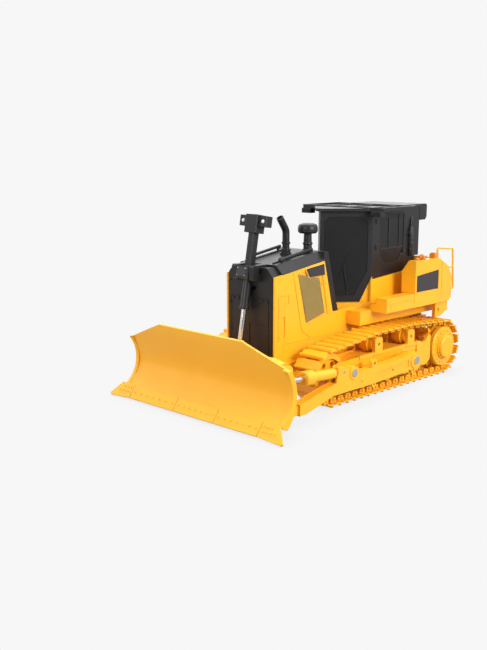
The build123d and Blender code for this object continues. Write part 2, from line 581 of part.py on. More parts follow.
# Hood: top panel with sloping shoulders, and the raked rear bulkhead.
STACK = (0, -29.3)        # (x, y) of the exhaust stack
PRECLEANER = (8, -14.2)   # (x, y) of the air pre-cleaner
RAIL_X, RAIL_START = 15.6, (-52.0, 103.2)
RAIL_SLOPE = math.radians(9)
with BuildPart() as hood_top:
    # (distance ahead of the origin, edge height, top height) of the front and rear sections
    for ahead, edge_z, top_z in ((58.8, 93.75, 100.1), (13.4, 100.2, 106.6)):
        with BuildSketch(Plane.XZ.offset(ahead)):
            with BuildLine():
                Polyline((-24.0, edge_z), (24.0, edge_z), (17.2, top_z), (-17.2, top_z),
                         close=True)
            make_face()
    loft()
    block(-30, 30, -70, -10, 80, 92.0, mode=CUT)
    # rear bulkhead behind the enclosure
    prism_yz([(-13.38, 100.15), (-13.38, 106.6), (-9.0, 106.6), (-7.4, 101.0), (3.6, 61.36),
              (-3.08, 61.36)], -23.4, 23.4)
    # raised ribs on the top panel
    for x0 in (-12.5, 11.3):
        prism_yz([(-56.0, 100.2), (-56.0, 101.4), (-16.0, 107.0), (-16.0, 105.8)], x0, x0 + 1.2)
    # bosses and seats for the stack and the pre-cleaner
    rod_z(*STACK, 4.2, 100, 105.4)
    rod_z(*PRECLEANER, 4.0, 102, 107.6)
    rod_z(*STACK, 2.1, 102.4, 110, mode=CUT)
    rod_z(*PRECLEANER, 2.1, 104.6, 110, mode=CUT)
    # hand rails along both shoulders, each on two posts with a ball at the front
    for side in SIDES:
        x = side * RAIL_X
        rail_plane = tilted_plane(x, RAIL_START, (math.cos(RAIL_SLOPE), math.sin(RAIL_SLOPE)))
        rod(rail_plane, 1.15, 34.0)
        for along in (2.0, 31.5):
            y = RAIL_START[0] + along * math.cos(RAIL_SLOPE)
            rod_z(x, y, 1.0, 99.5 + 0.11 * (y + 56), 103.4 + along * math.sin(RAIL_SLOPE))
        with Locations((x, *RAIL_START)):
            Sphere(1.9)
save("hood_top", hood_top.part)

# Radiator guard: nose with its doors, and the two cheeks that carry the lift cylinder.
NOSE_Y = -67.0            # front face
SLOT_X = 6.1              # half width of the lift cylinder's slot
with BuildPart() as radiator_guard:
    prism_xz([(-22.1, 24.0), (22.1, 24.0), (22.1, 92.4), (16.6, 98.6), (-16.6, 98.6),
              (-22.1, 92.4)], NOSE_Y, -58.82)
    # hollow behind the face
    prism_xz([(-19.8, 26.0), (19.8, 26.0), (19.8, 90.0), (-19.8, 90.0)], -64.2, -58.0, mode=CUT)
    chamfer(edges().filter_by(Axis.Z).group_by(Axis.Y)[0], 1.0)
    # slot for the lift cylinder
    block(-SLOT_X, SLOT_X, -70, -58, 86.0, 100, mode=CUT)
    prism_yz([(-70, 80.0), (-70, 101.0), (-58, 101.0), (-58, 92.0), (-64.0, 84.0)],
             -SLOT_X, SLOT_X, mode=CUT)
    # back plate of the slot
    block(-6.3, 6.3, -62.3, -60.6, 80.0, 98.5)
    # cheeks
    for side in SIDES:
        prism_yz([(-74.8, 91.6), (-73.4, 89.6), (-62.0, 88.0), (-60.0, 88.0), (-60.0, 100.4),
                  (-73.6, 100.4), (-74.8, 99.2)], *span(side, SLOT_X, 10.4))
        rod_x(*YOKE, SHAFT_R + RUN, *span(side, 5.0, 11.0), mode=CUT)
    # door seams cut in the face: (x0, x1, z0, z1)
    for x0, x1, z0, z1 in ((-18.6, 18.6, 76.0, 76.7), (-18.6, -17.9, 30.0, 76.0),
                           (17.9, 18.6, 30.0, 76.0), (-0.4, 0.4, 30.0, 58.0),
                           (-18.6, 18.6, 57.6, 58.3)):
        block(x0, x1, NOSE_Y - 0.1, NOSE_Y + 0.5, z0, z1, mode=CUT)
    # small raised blocks under the top seam
    for x in (-16.5, -11.5, 11.5, 16.5):
        block(x - 1.0, x + 1.0, NOSE_Y - 0.6, NOSE_Y + 0.1, 74.0, 76.0)
    # lower lip over the hull nose
    block(-20.0, 20.0, -64.2, -58.3, 24.0, 26.5)
save("radiator_guard", radiator_guard.part)

# Exhaust stack: a pipe bent forward at the top, with an open mouth.
STACK_FOOT, STACK_BEND, STACK_TIP = (-29.3, 107.0), (-29.3, 121.8), (-36.2, 131.4)
with BuildPart() as exhaust_stack:
    with BuildLine() as pipe:
        FilletPolyline((0, *STACK_FOOT), (0, *STACK_BEND), (0, *STACK_TIP), radius=7.5)
    with BuildSketch(Plane(origin=(0, *STACK_FOOT), z_dir=(0, 0, 1))) as section:
        Circle(2.65)
    sweep(section.sketch, path=pipe.wires()[0])
    rod_z(*STACK, 2.0, 102.6, 107.5)
    rod_z(*STACK, 3.5, 105.42, 108.4)
    rod(tilted_plane(0, STACK_TIP, (-6.9, 9.6)), 1.9, -3.5, mode=CUT)
save("exhaust_stack", exhaust_stack.part)

# Pre-cleaner, turned about its own upright axis; the outline is (x, z).
with BuildPart() as air_precleaner:
    with BuildSketch(Plane.XZ.offset(-PRECLEANER[1])):
        with BuildLine():
            Polyline((8, 104.65), (10.0, 104.65), (10.0, 107.65), (11.2, 107.65), (10.9, 119.0),
                     (14.2, 119.4), (15.3, 120.6), (15.4, 122.6), (15.2, 124.4), (14.4, 125.8),
                     (12.0, 126.6), (8, 126.9), close=True)
        make_face()
    revolve(axis=Axis((*PRECLEANER, 0), (0, 0, 1)))
save("air_precleaner", air_precleaner.part)

# ================================================================= CAB
# A pentagon in plan, its two front faces meeting at a centre post.  (x, y)
CAB_PLAN = [(0, CAB_Y0), (CAB_X, CAB_YC), (CAB_X, CAB_Y1), (-CAB_X, CAB_Y1), (-CAB_X, CAB_YC)]
CAB_INSIDE = [(0, CAB_Y0 + 3.2), (CAB_X - 2.2, CAB_YC + 0.9), (CAB_X - 2.2, CAB_Y1 - 2.2),
              (-CAB_X + 2.2, CAB_Y1 - 2.2), (-CAB_X + 2.2, CAB_YC + 0.9)]
# The left front face: its local x runs from the centre post to the corner, its local y is up.
FRONT_LEN = math.hypot(CAB_X, CAB_YC - CAB_Y0)
FRONT_DIR = Vector(CAB_X, CAB_YC - CAB_Y0, 0).normalized()
FRONT_PLANE = Plane(origin=(0, CAB_Y0, 0), x_dir=(FRONT_DIR.X, FRONT_DIR.Y, 0),
                    z_dir=(FRONT_DIR.Y, -FRONT_DIR.X, 0))
SIDE_PLANE = Plane.YZ.offset(CAB_X)
FRONT_PANE = [(3.0, 74.0), (8.0, 69.0), (FRONT_LEN - 13.6, 69.0), (FRONT_LEN - 3.6, 88.6),
              (FRONT_LEN - 3.6, 126.0), (FRONT_LEN - 9.0, 129.6), (7.0, 129.6), (3.0, 126.0)]
SIDE_PANE = [(48.2, 130.4), (81.5, 130.4), (81.2, 101.3), (73.4, 92.8), (55.8, 92.8),
             (50.0, 99.7)]
PANES = ((FRONT_PLANE, FRONT_PANE), (SIDE_PLANE, SIDE_PANE))
GUSSET_NOTCH = [(31.6, CAB_Z0 - 0.5), (31.6, CAB_Z0), (39.75, 81.1), (42.4, 86.7),
                (42.4, CAB_Z0 - 0.5)]
PANE_RECESS = 1.0

with BuildPart() as pane_recesses:
    for plane, outline in PANES:
        prism(plane.offset(-PANE_RECESS), outline, PANE_RECESS + 1.0)
with BuildPart() as gusset_notch:
    prism(FRONT_PLANE.offset(-1.3), GUSSET_NOTCH, 3.0)
with BuildPart() as cab_shell:
    prism_xy(CAB_PLAN, CAB_Z0, CAB_Z1)
    prism_xy(CAB_INSIDE, CAB_Z0 - 1, CAB_Z1 - 2.0, mode=CUT)
    # the foot of each front corner post is cut away for a gusset of the deck
    both_sides(gusset_notch.part, mode=CUT)
    both_sides(pane_recesses.part, mode=CUT)
    # rear window seat
    block(-20, 20, CAB_Y1 - PANE_RECESS, CAB_Y1 + 1, 92, 128, mode=CUT)
    # rear corner posts of the roll-over frame
    for side in SIDES:
        block(*span(side, 19.5, 26.5), CAB_Y1 - 0.2, CAB_Y1 + 6.5, 95.6, CAB_Z1)
    # door handles and hinges
    for side in SIDES:
        block(*span(side, CAB_X - 0.1, CAB_X + 0.9), 80.0, 84.4, 99.5, 101.3)
        for z in (104.0, 124.0):
            rod_z(side * (CAB_X + 0.1), 45.0, 1.1, z, z + 4.0)
save("cab_shell", cab_shell.part)

with BuildPart() as left_panes:
    for plane, outline in PANES:
        with BuildSketch(plane.offset(-PANE_RECESS + 0.02)):
            with BuildLine():
                Polyline(*outline, close=True)
            make_face()
            offset(amount=-0.08, kind=Kind.INTERSECTION, mode=Mode.REPLACE)
        extrude(amount=PANE_RECESS - 0.4)
with BuildPart() as cab_windows:
    both_sides(left_panes.part)
    block(-19.9, 19.9, CAB_Y1 - PANE_RECESS + 0.02, CAB_Y1 - 0.4, 92.1, 127.9)
save("cab_windows", cab_windows.part)

# Roof: falling-object canopy with a raised rim, light pods and the rear air unit.
ROOF_Z0, ROOF_Z1 = CAB_Z1 + 0.02, 137.0
with BuildPart() as cab_roof:
    block(-40.0, 40.0, 34.6, 80.0, ROOF_Z0, ROOF_Z1)
    block(-27.0, 27.0, 80.0, 112.0, ROOF_Z0, ROOF_Z1)
    prism_xy([(-2.8, 7.4), (2.8, 7.4), (29.4, 37.5), (29.4, 42.0), (-29.4, 42.0),
              (-29.4, 37.5)], ROOF_Z0, 136.2)
    chamfer(edges().filter_by(Axis.Z), 1.2)
    # sunk roof panel and the ribs across it
    block(-37.6, 37.6, 37.0, 77.6, 135.6, 138.0, mode=CUT)
    for x in (-22, 0, 22):
        block(x - 1.2, x + 1.2, 37.0, 77.6, 135.6, 136.5)
    # light pods under the front corners
    for side in SIDES:
        block(*span(side, 29.6, 39.0), 33.0, 38.6, 130.2, 134.1)
    # rear air unit
    prism_yz([(104.0, 124.0), (112.0, 124.0), (114.0, 126.6), (114.0, 135.6), (112.6, 137.0),
              (99.0, 137.0), (98.2, 136.4), (98.2, 134.1), (104.0, 134.1)], -26.6, 26.6)
save("cab_roof", cab_roof.part)

# ================================================================= DECKS AND TANK
# Decks and fenders round the cab.  The deck's front edges run beside the cab's front faces.
DECK_PLAN = [(1.6, 4.3), (39.8, 47.6), (39.8, 98.4), (-39.8, 98.4), (-39.8, 47.6), (-1.6, 4.3)]
BODY_X = 50.0             # half width over the fenders and the tank
# gusset that closes the foot of the left front cab corner
with BuildPart() as deck_gusset:
    prism(FRONT_PLANE.offset(-1.24), [(31.68, DECK_Z1 - 0.2), (39.83, 81.05), (41.2, 83.7),
                                      (41.2, DECK_Z1 - 0.2)], 1.24)
with BuildPart() as fender_deck:
    prism_xy(DECK_PLAN, DECK_Z0, DECK_Z1)
    for side in SIDES:
        # fender box, open below, with a groove along its outer face
        block(*span(side, 39.8, BODY_X), 28.8, 98.5, 58.7, FENDER_Z)
        block(*span(side, 41.4, 48.4), 30.4, 96.9, 58.0, 68.1, mode=CUT)
        prism_yz([(34.2, 65.4), (65.0, 65.4), (65.0, 65.0), (34.6, 65.0), (34.6, 61.0),
                  (34.2, 61.0)], *span(side, BODY_X - 0.3, BODY_X + 0.5), mode=CUT)
        block(*span(side, BODY_X - 0.4, BODY_X + 0.5), 65.0, 65.4, 62.3, 70.0, mode=CUT)
        block(*span(side, 35.0, 40.0), 28.8, 50.0, 58.7, DECK_Z1 - 0.1)
        # lower side box, inboard of the fender
        block(*span(side, 22.0, 36.0), 14.8, 98.4, 49.4, 59.95)
        block(*span(side, 22.0, 36.0), 98.0, 117.2, 49.4, 58.64)
        block(*span(side, 24.0, 34.6), 16.4, 115.8, 49.0, 57.0, mode=CUT)
        # thin console wall under the side window
        prism_yz([(37.6, DECK_Z1 - 0.2), (98.4, DECK_Z1 - 0.2), (98.4, 86.0), (75.0, 84.0),
                  (37.6, 81.4)], *span(side, CAB_X + 0.06, CAB_X + 1.5))
    # box between the lower hull and the deck
    prism_xz([(-23.0, 44.04), (23.0, 44.04), (23.0, 61.2), (-23.0, 61.2)], 7.0, 117.2)
    block(-21.0, 21.0, 9.0, 115.2, 43, 57.0, mode=CUT)
    # steps that clear the enclosure's tail and the tank's floor
    block(-24.0, 24.0, 0.0, 6.98, 59.0, 61.36, mode=CUT)
    block(-24.0, 24.0, 98.5, 118.0, 58.64, 62.0, mode=CUT)
    both_sides(deck_gusset.part)
save("fender_deck", fender_deck.part)

# Rear tank: full width behind the cab, with two narrower arms forward over the fenders.
TANK_Z0, TANK_Z1 = 58.7, 95.2
RAIL_EYE_X = 46.2         # centre plane of each grab rail
TANK_PLAN = [(50.0, 98.6), (50.0, 103.5), (48.6, 120.6), (46.4, 123.4),
             (-46.4, 123.4), (-48.6, 120.6), (-50.0, 103.5), (-50.0, 98.6)]
with BuildPart() as fuel_tank:
    prism_xy(TANK_PLAN, TANK_Z0, TANK_Z1)
    # arms forward over the fenders, chamfered along the inner top edge
    for side in SIDES:
        prism_xz([(side * 37.0, FENDER_Z + 0.04), (side * BODY_X, FENDER_Z + 0.04),
                  (side * BODY_X, TANK_Z1), (side * 43.4, TANK_Z1), (side * 37.0, 86.5)],
                 66.0, 98.7)
    # sloped rear shoulder and undercut rear foot
    prism_yz([(98.6, 95.3), (98.6, 98.0), (128.0, 98.0), (128.0, 66.0), (123.2, 74.0),
              (114.5, 87.3)], -51, 51, mode=CUT)
    prism_yz([(124.0, 62.5), (124.0, 58.0), (117.4, 58.0), (118.6, 60.2)], -51, 51, mode=CUT)
    # hollow, open downwards
    prism_yz([(100.6, 58.0), (100.6, 84.0), (112.0, 84.0), (117.4, 74.0), (117.4, 58.0)],
             -47.6, 47.6, mode=CUT)
    # shallow panel and an upright groove in each outer face
    for side in SIDES:
        skin = span(side, BODY_X - 0.4, BODY_X + 0.5)
        prism_yz([(68.2, 70.2), (98.9, 70.2), (98.8, 86.2), (68.0, 83.6)], *skin, mode=CUT)
        block(*skin, 103.2, 103.6, 62.0, 92.0, mode=CUT)
    # rear lamp seats
    for side in SIDES:
        rod_y(side * 38.0, 68.0, 2.6, 122.6, 124.0, mode=CUT)
    # frame plates below the rear corners, each with a bolt hole
    for side in SIDES:
        block(*span(side, 43.4, 47.8), 101.5, 117.0, 59.0, 62.5)
        prism_yz([(101.5, 61.8), (101.5, 46.2), (108.5, 46.2), (119.2, 50.6), (119.2, 60.9),
                  (117.6, 61.8)], *span(side, 43.4, 46.4))
        rod_x(105.5, 51.8, 1.9, *span(side, 45.2, 47.0), mode=CUT)
save("fuel_tank", fuel_tank.part)

FILLER = (46.3, 79.5)     # (x, y)
CAP_Z = TANK_Z1 + 0.02
with BuildPart() as tank_caps:
    # crown-shaped filler cap
    rod_z(*FILLER, 2.9, CAP_Z, 96.4)
    with BuildSketch(Plane.XY.offset(96.4)):
        with Locations(FILLER):
            Circle(3.7)
            with PolarLocations(3.9, 6):
                Circle(1.1, mode=CUT)
    extrude(amount=1.9)
    rod_z(*FILLER, 1.5, 98.3, 99.2)
    # low cap ahead of it and block-shaped breather behind
    rod_z(46.6, 72.6, 1.9, CAP_Z, 97.0)
    block(44.0, 49.0, 93.4, 98.3, CAP_Z, 98.8)
    block(44.8, 48.2, 94.2, 97.5, 98.8, 99.5)
    # cap on the right arm
    rod_z(-44.4, 82.0, 2.8, CAP_Z, 97.6)
save("tank_caps", tank_caps.part)

# Grab rails at the rear corners, bent from round wire, each with a cross bar.
with BuildPart() as grab_rails:
    for side in SIDES:
        x = side * RAIL_EYE_X
        with BuildLine() as wire:
            FilletPolyline((x, 101.8, 92.6), (x, 101.8, 102.6), (x, 124.4, 100.6),
                           (x, 127.0, 67.4), (x, 123.46, 67.4), radius=1.5)
        with BuildSketch(Plane(origin=(x, 101.8, 92.6), z_dir=(0, 0, 1))) as section:
            Circle(0.8)
        sweep(section.sketch, path=wire.wires()[0])
    for side in SIDES:
        rod_y(side * RAIL_EYE_X, 85.6, 0.65, 114.0, 125.4)
    # feet trimmed to the tank's slope
    prism_yz([(98.0, 95.64), (114.5, 87.34), (123.26, 74.0), (123.44, 66.0), (123.44, 58.0),
              (98.0, 58.0)], -51, 51, mode=CUT)
save("grab_rails", grab_rails.part)

with BuildPart() as body_screws:
    # slotted heads on the deck
    for x in (-33.4, 33.4):
        for y in (54, 90):
            rod_z(x, y, 1.5, DECK_Z1 + 0.01, DECK_Z1 + 0.7)
            block(x - 1.6, x + 1.6, y - 0.2, y + 0.2, DECK_Z1 + 0.45, DECK_Z1 + 0.8, mode=CUT)
    # plain heads under the hull
    for side in SIDES:
        for y in (12.0, 76.0):
            rod_z(side * 22.0, y, 1.6, 8.3, HULL_Z0 - 0.02)
save("body_screws", body_screws.part)

# ================================================================= PUSH ARMS
CAP_PIN = (-27.6, 25.6)
UPPER_LUG, LOWER_LUGS = (-3.4, 28.2), ((-3.6, 12.6), (46.2, 14.2))
ARM_IN, ARM_OUT = ARM_X - ARM_HALF, ARM_X + ARM_HALF
ARM_OUTLINE = [(49.1, 15.6), (-5.3, 13.2), (-49.1, 13.0), (-78.3, 6.2), (-85.0, 5.8),
               (-85.0, 13.6), (-55.3, 20.0), (-44.0, 21.6), (-30.0, 23.0), (-19.0, 24.6),
               (30.0, 26.2), (49.1, 28.4)]
BRACKET_CHEEK = [(-47.2, 20.0), (-46.4, 25.0), (-43.6, 31.6), (-41.4, 32.6), (-38.0, 31.6),
                 (-33.6, 28.8), (-30.0, 23.0), (-30.0, 20.0)]
with BuildPart() as push_arm:
    prism_yz(ARM_OUTLINE, ARM_IN, ARM_OUT)
    # narrower nose to the ball end in the blade's clevis
    prism_yz([(-84.0, 6.4), (-105.5, 5.6), (-105.5, 12.4), (-84.0, 12.6)],
             ARM_X - 2.6, ARM_X + 1.6)
    rod_x(*TRUNNION, 6.6, ARM_IN, ARM_X + 4.1)
    rod_x(*BLADE_PIVOT, 3.8, ARM_IN, ARM_OUT)
    # cap pin boss and the small eyes above and below
    rod_x(*CAP_PIN, 4.9, ARM_IN, ARM_X + 4.0)
    rod_x(*UPPER_LUG, 3.1, ARM_X + 0.6, ARM_OUT)
    block(ARM_X + 0.6, ARM_OUT, UPPER_LUG[0] - 3.1, UPPER_LUG[0] + 3.1, 23.0, UPPER_LUG[1])
    for y, z in LOWER_LUGS:
        rod_x(y, z, 2.4, ARM_X + 0.6, ARM_OUT)
    for x0, x1 in ((ARM_IN, ARM_X - 1.9), (ARM_X + 1.9, ARM_OUT)):
        prism_yz(BRACKET_CHEEK, x0, x1)
    # room for the cylinder's eye between the cheeks
    rod_x(*TILT_REAR, 4.2, ARM_X - 1.9, ARM_X + 1.9, mode=CUT)
    block(ARM_X - 1.9, ARM_X + 1.9, -51.0, TILT_REAR[0], 23.2, 40.0, mode=CUT)
    # long recess in the outer face
    prism_yz([(40.0, 18.4), (0.0, 15.8), (0.0, 20.5), (40.0, 23.6)],
             ARM_X + 2.9, ARM_X + 3.6, mode=CUT)
    # bores
    rod_x(*TRUNNION, SHAFT_R + 0.01, ARM_X - 4, ARM_X + 5, mode=CUT)
    rod_x(*BLADE_PIVOT, BLADE_PIN_R + RUN, ARM_X - 4, ARM_X + 4, mode=CUT)
    rod_x(*TILT_REAR, PIN_R + 0.01, ARM_X - 4, ARM_X + 4, mode=CUT)
    rod_x(*CAP_PIN, 3.0, ARM_X + 2.6, ARM_X + 4.2, mode=CUT)
    rod_x(*UPPER_LUG, 1.2, ARM_X, ARM_X + 4, mode=CUT)
    for y, z in LOWER_LUGS:
        rod_x(y, z, 0.9, ARM_X + 2.0, ARM_X + 4, mode=CUT)
save_pair("push_arm", push_arm.part)

# Cross member between the arms, with the clevis of the lift rod.
with BuildPart() as lift_crossbar:
    y = LIFT_PIN[0]
    block(-ARM_IN + 0.02, ARM_IN - 0.02, y - 4.0, y + 4.0, 7.4, 13.4)
    fillet(edges().filter_by(Axis.X), 1.4)
    for side in SIDES:
        prism_yz([(y - 4.0, 11.0), (y + 4.0, 11.0), (y + 3.2, 20.0), (y + 1.8, 22.8),
                  (y - 1.8, 22.8), (y - 3.2, 20.0)], *span(side, 2.3, 4.1))
    rod_x(*LIFT_PIN, PIN_R + 0.02, -5, 5, mode=CUT)
save("lift_crossbar", lift_crossbar.part)

# Cross shaft, cap pins, tilt cylinder pins and lift rod pin, all carried by the push arms.
with BuildPart() as push_frame_pins:
    rod_x(*TRUNNION, SHAFT_R, -ARM_X - 4.0, ARM_X + 4.0)
    for side in SIDES:
        rod_x(*TRUNNION, 3.2, *span(side, ARM_X + 4.12, ARM_X + 4.9))
        rod_x(*TRUNNION, SHAFT_R, *span(side, ARM_X + 3.9, ARM_X + 4.2))
        rod_x(*CAP_PIN, 2.95, *span(side, ARM_X + 2.65, ARM_X + 4.6))
        rod_x(*TILT_REAR, PIN_R, *span(side, ARM_X - 3.7, ARM_X + 3.3))
    rod_x(*LIFT_PIN, PIN_R, -4.7, 4.7)
save("push_frame_pins", push_frame_pins.part)

# ================================================================= BLADE
# Moldboard: a curved sheet with end plates, a lower box beam and upright ribs behind.
MOLD_FRONT = [(-118.6, 8.4), (-110.8, 17.5), (-107.5, 26.5), (-108.9, 34.0), (-112.4, 43.7),
              (-117.3, 58.0)]
MOLD_BACK = [(-116.4, 6.8), (-108.5, 17.3), (-105.2, 26.5), (-106.7, 34.2), (-110.3, 44.2),
             (-115.5, 58.5)]
RIB = [(-109.2, 17.0), (-102.8, 18.0), (-101.4, 27.0), (-104.6, 44.0), (-111.0, 44.0),
       (-108.0, 35.5), (-106.3, 28.0), (-106.4, 24.0)]
CLEVIS = [(-116.0, 6.9), (-113.4, 4.0), (-98.6, 4.0), (-97.0, 5.4), (-97.0, 15.4),
          (-98.4, 16.8), (-104.6, 18.4), (-105.4, 20.0), (-107.6, 20.0)]
TILT_EAR = [(-106.6, 22.6), (-97.0, 24.6), (-93.6, 27.6), (-93.6, 40.4), (-95.4, 42.2),
            (-111.0, 43.4), (-108.0, 34.5), (-106.3, 27.0)]
# the top edge is level out to PEAK_W, then slopes down to the corners at HALF_W
HALF_W, PEAK_W, CORNER_Z, TOP_Z = 78.4, 41.6, 43.7, 58.0
END_PLATE = 3.2
with BuildPart() as blade:
    with BuildSketch(Plane.YZ.offset(-HALF_W)):
        with BuildLine():
            Spline(*MOLD_FRONT)
            Line(MOLD_FRONT[-1], MOLD_BACK[-1])
            Spline(*MOLD_BACK[::-1])
            Line(MOLD_BACK[0], MOLD_FRONT[0])
        make_face()
    extrude(amount=2 * HALF_W)
    # end plates stand a little proud of the sheet
    for x0 in (-HALF_W, HALF_W - END_PLATE):
        with BuildSketch(Plane.YZ.offset(x0)):
            with BuildLine():
                ThreePointArc((-118.6, 9.2), (-108.8, 26.4), (-115.6, 45.0))
                Line((-115.6, 45.0), (-111.0, 45.0))
                ThreePointArc((-111.0, 45.0), (-104.6, 26.4), (-113.6, 5.6))
                Line((-113.6, 5.6), (-118.6, 9.2))
            make_face()
        extrude(amount=END_PLATE)
    # box beam along the bottom and a stiffener below the top edge
    prism_yz([(-115.2, 5.4), (-108.4, 5.4), (-103.4, 16.0), (-104.4, 20.0), (-107.4, 20.0)],
             -54.4, 54.4)
    prism_yz([(-110.8, 43.0), (-107.0, 43.0), (-106.6, 47.0), (-109.6, 49.6), (-113.1, 49.6)],
             -70.0, 70.0)
    for x in (-45.0, -22.0, 0.0, 22.0, 45.0):
        prism_yz(RIB, x - 1.1, x + 1.1)
    # sloping shoulders of the top edge
    for side in SIDES:
        prism_xz([(side * PEAK_W, 60.0), (side * PEAK_W, TOP_Z), (side * HALF_W, CORNER_Z),
                  (side * (HALF_W + 2), CORNER_Z), (side * (HALF_W + 2), 62.0),
                  (side * PEAK_W, 62.0)], -125.0, -95.0, mode=CUT)
    # clevises for the push arms and ears for the tilt rods
    for side in SIDES:
        for x0, x1 in ((ARM_X - 6.1, ARM_X - 4.3), (ARM_X + 4.3, ARM_X + 6.1)):
            prism_yz(CLEVIS, *span(side, x0, x1))
        for x0, x1 in ((ARM_X - 4.4, ARM_X - 2.6), (ARM_X + 2.6, ARM_X + 4.4)):
            prism_yz(TILT_EAR, *span(side, x0, x1))
        through = span(side, ARM_X - 7, ARM_X + 7)
        rod_x(*BLADE_PIVOT, BLADE_PIN_R, *through, mode=CUT)
        rod_x(*TILT_FRONT, PIN_R, *through, mode=CUT)
save("blade", blade.part)

# Wear parts along the bottom: centre cutting edge in three lengths and two flared end bits.
KINK, TIP = 64.2, 86.6    # x where the end bits begin, and of their outer corners
EDGE_NORMAL = (-0.8, 0.6)
BOLTS = 7                 # per length of edge
END_BIT_PLANE = tilted_plane(0, (-121.0, 10.4), EDGE_NORMAL)
with BuildPart() as cutting_edge:
    for x0, x1 in ((-KINK, -16.4), (-16.0, 24.0), (24.4, KINK)):
        prism_yz([(-127.2, 2.1), (-126.3, 1.2), (-119.0, 6.6), (-119.1, 8.2), (-121.0, 10.4)],
                 x0, x1)
        for k in range(BOLTS):
            x = x0 + (x1 - x0) * (k + 0.5) / BOLTS
            rod(tilted_plane(x, (-123.95, 5.95), EDGE_NORMAL), 0.62, 0.9)
    for side in SIDES:
        prism(END_BIT_PLANE, [(side * (KINK + 0.4), 0.0), (side * (HALF_W + 0.4), 0.0),
                              (side * TIP, -10.6), (side * (TIP - 1.2), -11.7),
                              (side * (KINK + 0.4), -10.4)], -1.5)
        for row, count in ((-2.6, 3), (-6.0, 4)):
            for k in range(count):
                rod(END_BIT_PLANE, 0.7, 0.6, at=(side * (KINK + 3.2 + 3.4 * k), row))
save("cutting_edge", cutting_edge.part)

with BuildPart() as blade_pins:
    for side in SIDES:
        rod_x(*BLADE_PIVOT, BLADE_PIN_R - 0.01, *span(side, ARM_X - 6.4, ARM_X + 6.6))
        rod_x(*TILT_FRONT, PIN_R - 0.01, *span(side, ARM_X - 4.9, ARM_X + 5.0))
save("blade_pins", blade_pins.part)

# ================================================================= TILT CYLINDERS
# Distances along the cylinder start at the rear pin and run forward.
TILT_LEN = math.dist(TILT_REAR, TILT_FRONT)
TILT_PLANE = tilted_plane(ARM_X, TILT_REAR,
                          (TILT_FRONT[0] - TILT_REAR[0], TILT_FRONT[1] - TILT_REAR[1]))
TILT_ROD_R = 1.9
with BuildPart() as tilt_barrel:
    # eye, neck, barrel and swollen gland head
    rod_x(*TILT_REAR, 2.9, ARM_X - 1.8, ARM_X + 1.8)
    rod(TILT_PLANE.offset(2.0), 1.75, 7.0)
    rod(TILT_PLANE.offset(8.4), 3.6, 21.0)
    with BuildSketch(TILT_PLANE.offset(28.8)):
        Circle(3.9)
    with BuildSketch(TILT_PLANE.offset(31.6)):
        Circle(5.2)
    loft()
    rod(TILT_PLANE.offset(31.6), 5.2, 8.7)
    chamfer(edges().group_by(Axis.Y)[0], 0.8)
    rod(TILT_PLANE.offset(17.0), TILT_ROD_R + RUN, 30.0, mode=CUT)
    rod_x(*TILT_REAR, PIN_R + RUN, ARM_X - 4, ARM_X + 4, mode=CUT)
save_pair("tilt_barrel", tilt_barrel.part)

with BuildPart() as tilt_rod:
    rod(TILT_PLANE.offset(21.0), TILT_ROD_R, TILT_LEN - 21.0 - 1.8)
    rod(TILT_PLANE.offset(TILT_LEN - 5.4), 2.3, 3.0)
    rod_x(*TILT_FRONT, 2.7, ARM_X - 2.2, ARM_X + 2.2)
    rod_x(*TILT_FRONT, PIN_R + 0.45, ARM_X - 4, ARM_X + 4, mode=CUT)
save_pair("tilt_rod", tilt_rod.part)

# ================================================================= LIFT CYLINDER
# Distances along the cylinder start at the trunnion and run upwards.
LIFT_LEN = math.dist(YOKE, LIFT_PIN)
LIFT_AXIS = (YOKE[0] - LIFT_PIN[0], YOKE[1] - LIFT_PIN[1])
LIFT_PLANE = tilted_plane(0, YOKE, LIFT_AXIS)
LAMP_PLANE = tilted_plane(0, YOKE, (LIFT_AXIS[1], -LIFT_AXIS[0]))   # square to the axis
LIFT_ROD_R = 1.85
# (start, x, y across the axis, width, depth, corner radius, length)
LIFT_HEAD = (
    (3.0, 0, 0, 5.6, 5.6, 0.8, 34.0),       # slim upper post
    (26.4, 0, 0, 11.6, 9.0, 0.8, 12.8),     # lamp head
    (31.0, 9.3, 0.6, 7.6, 6.2, 0.7, 7.6),   # left lamp pod
    (31.0, -9.3, 0.6, 7.6, 6.2, 0.7, 7.6),  # right lamp pod
)
with BuildPart() as lift_cylinder:
    # lower barrel with its end collar
    rod(LIFT_PLANE.offset(-27.8), 3.1, 24.0)
    rod(LIFT_PLANE.offset(-27.8), 3.5, 2.4)
    # trunnion block
    with BuildSketch(LIFT_PLANE.offset(-6.6)):
        with Locations((0, -1.6)):
            RectangleRounded(11.6, 12.0, 1.2)
    extrude(amount=9.8)
    rod_x(*YOKE, SHAFT_R, -9.8, 9.8)
    for start, x, y, width, depth, corner, length in LIFT_HEAD:
        with BuildSketch(LIFT_PLANE.offset(start)):
            with Locations((x, y)):
                RectangleRounded(width, depth, corner)
        extrude(amount=length)
    # holes through the lamp pods
    with BuildSketch(LAMP_PLANE.offset(-12)):
        with Locations((-9.6, -34.8), (9.6, -34.8)):
            Circle(1.5)
    extrude(amount=24.0, mode=CUT)
    # bore for the rod
    rod(LIFT_PLANE.offset(-31.0), LIFT_ROD_R + RUN, 51.0, mode=CUT)
save("lift_cylinder", lift_cylinder.part)

with BuildPart() as lift_rod:
    rod(LIFT_PLANE.offset(-LIFT_LEN + 2.4), LIFT_ROD_R, 58.0)
    rod_x(*LIFT_PIN, 3.2, -2.1, 2.1)
    rod_x(*LIFT_PIN, PIN_R + 0.75, -3, 3, mode=CUT)
save("lift_rod", lift_rod.part)
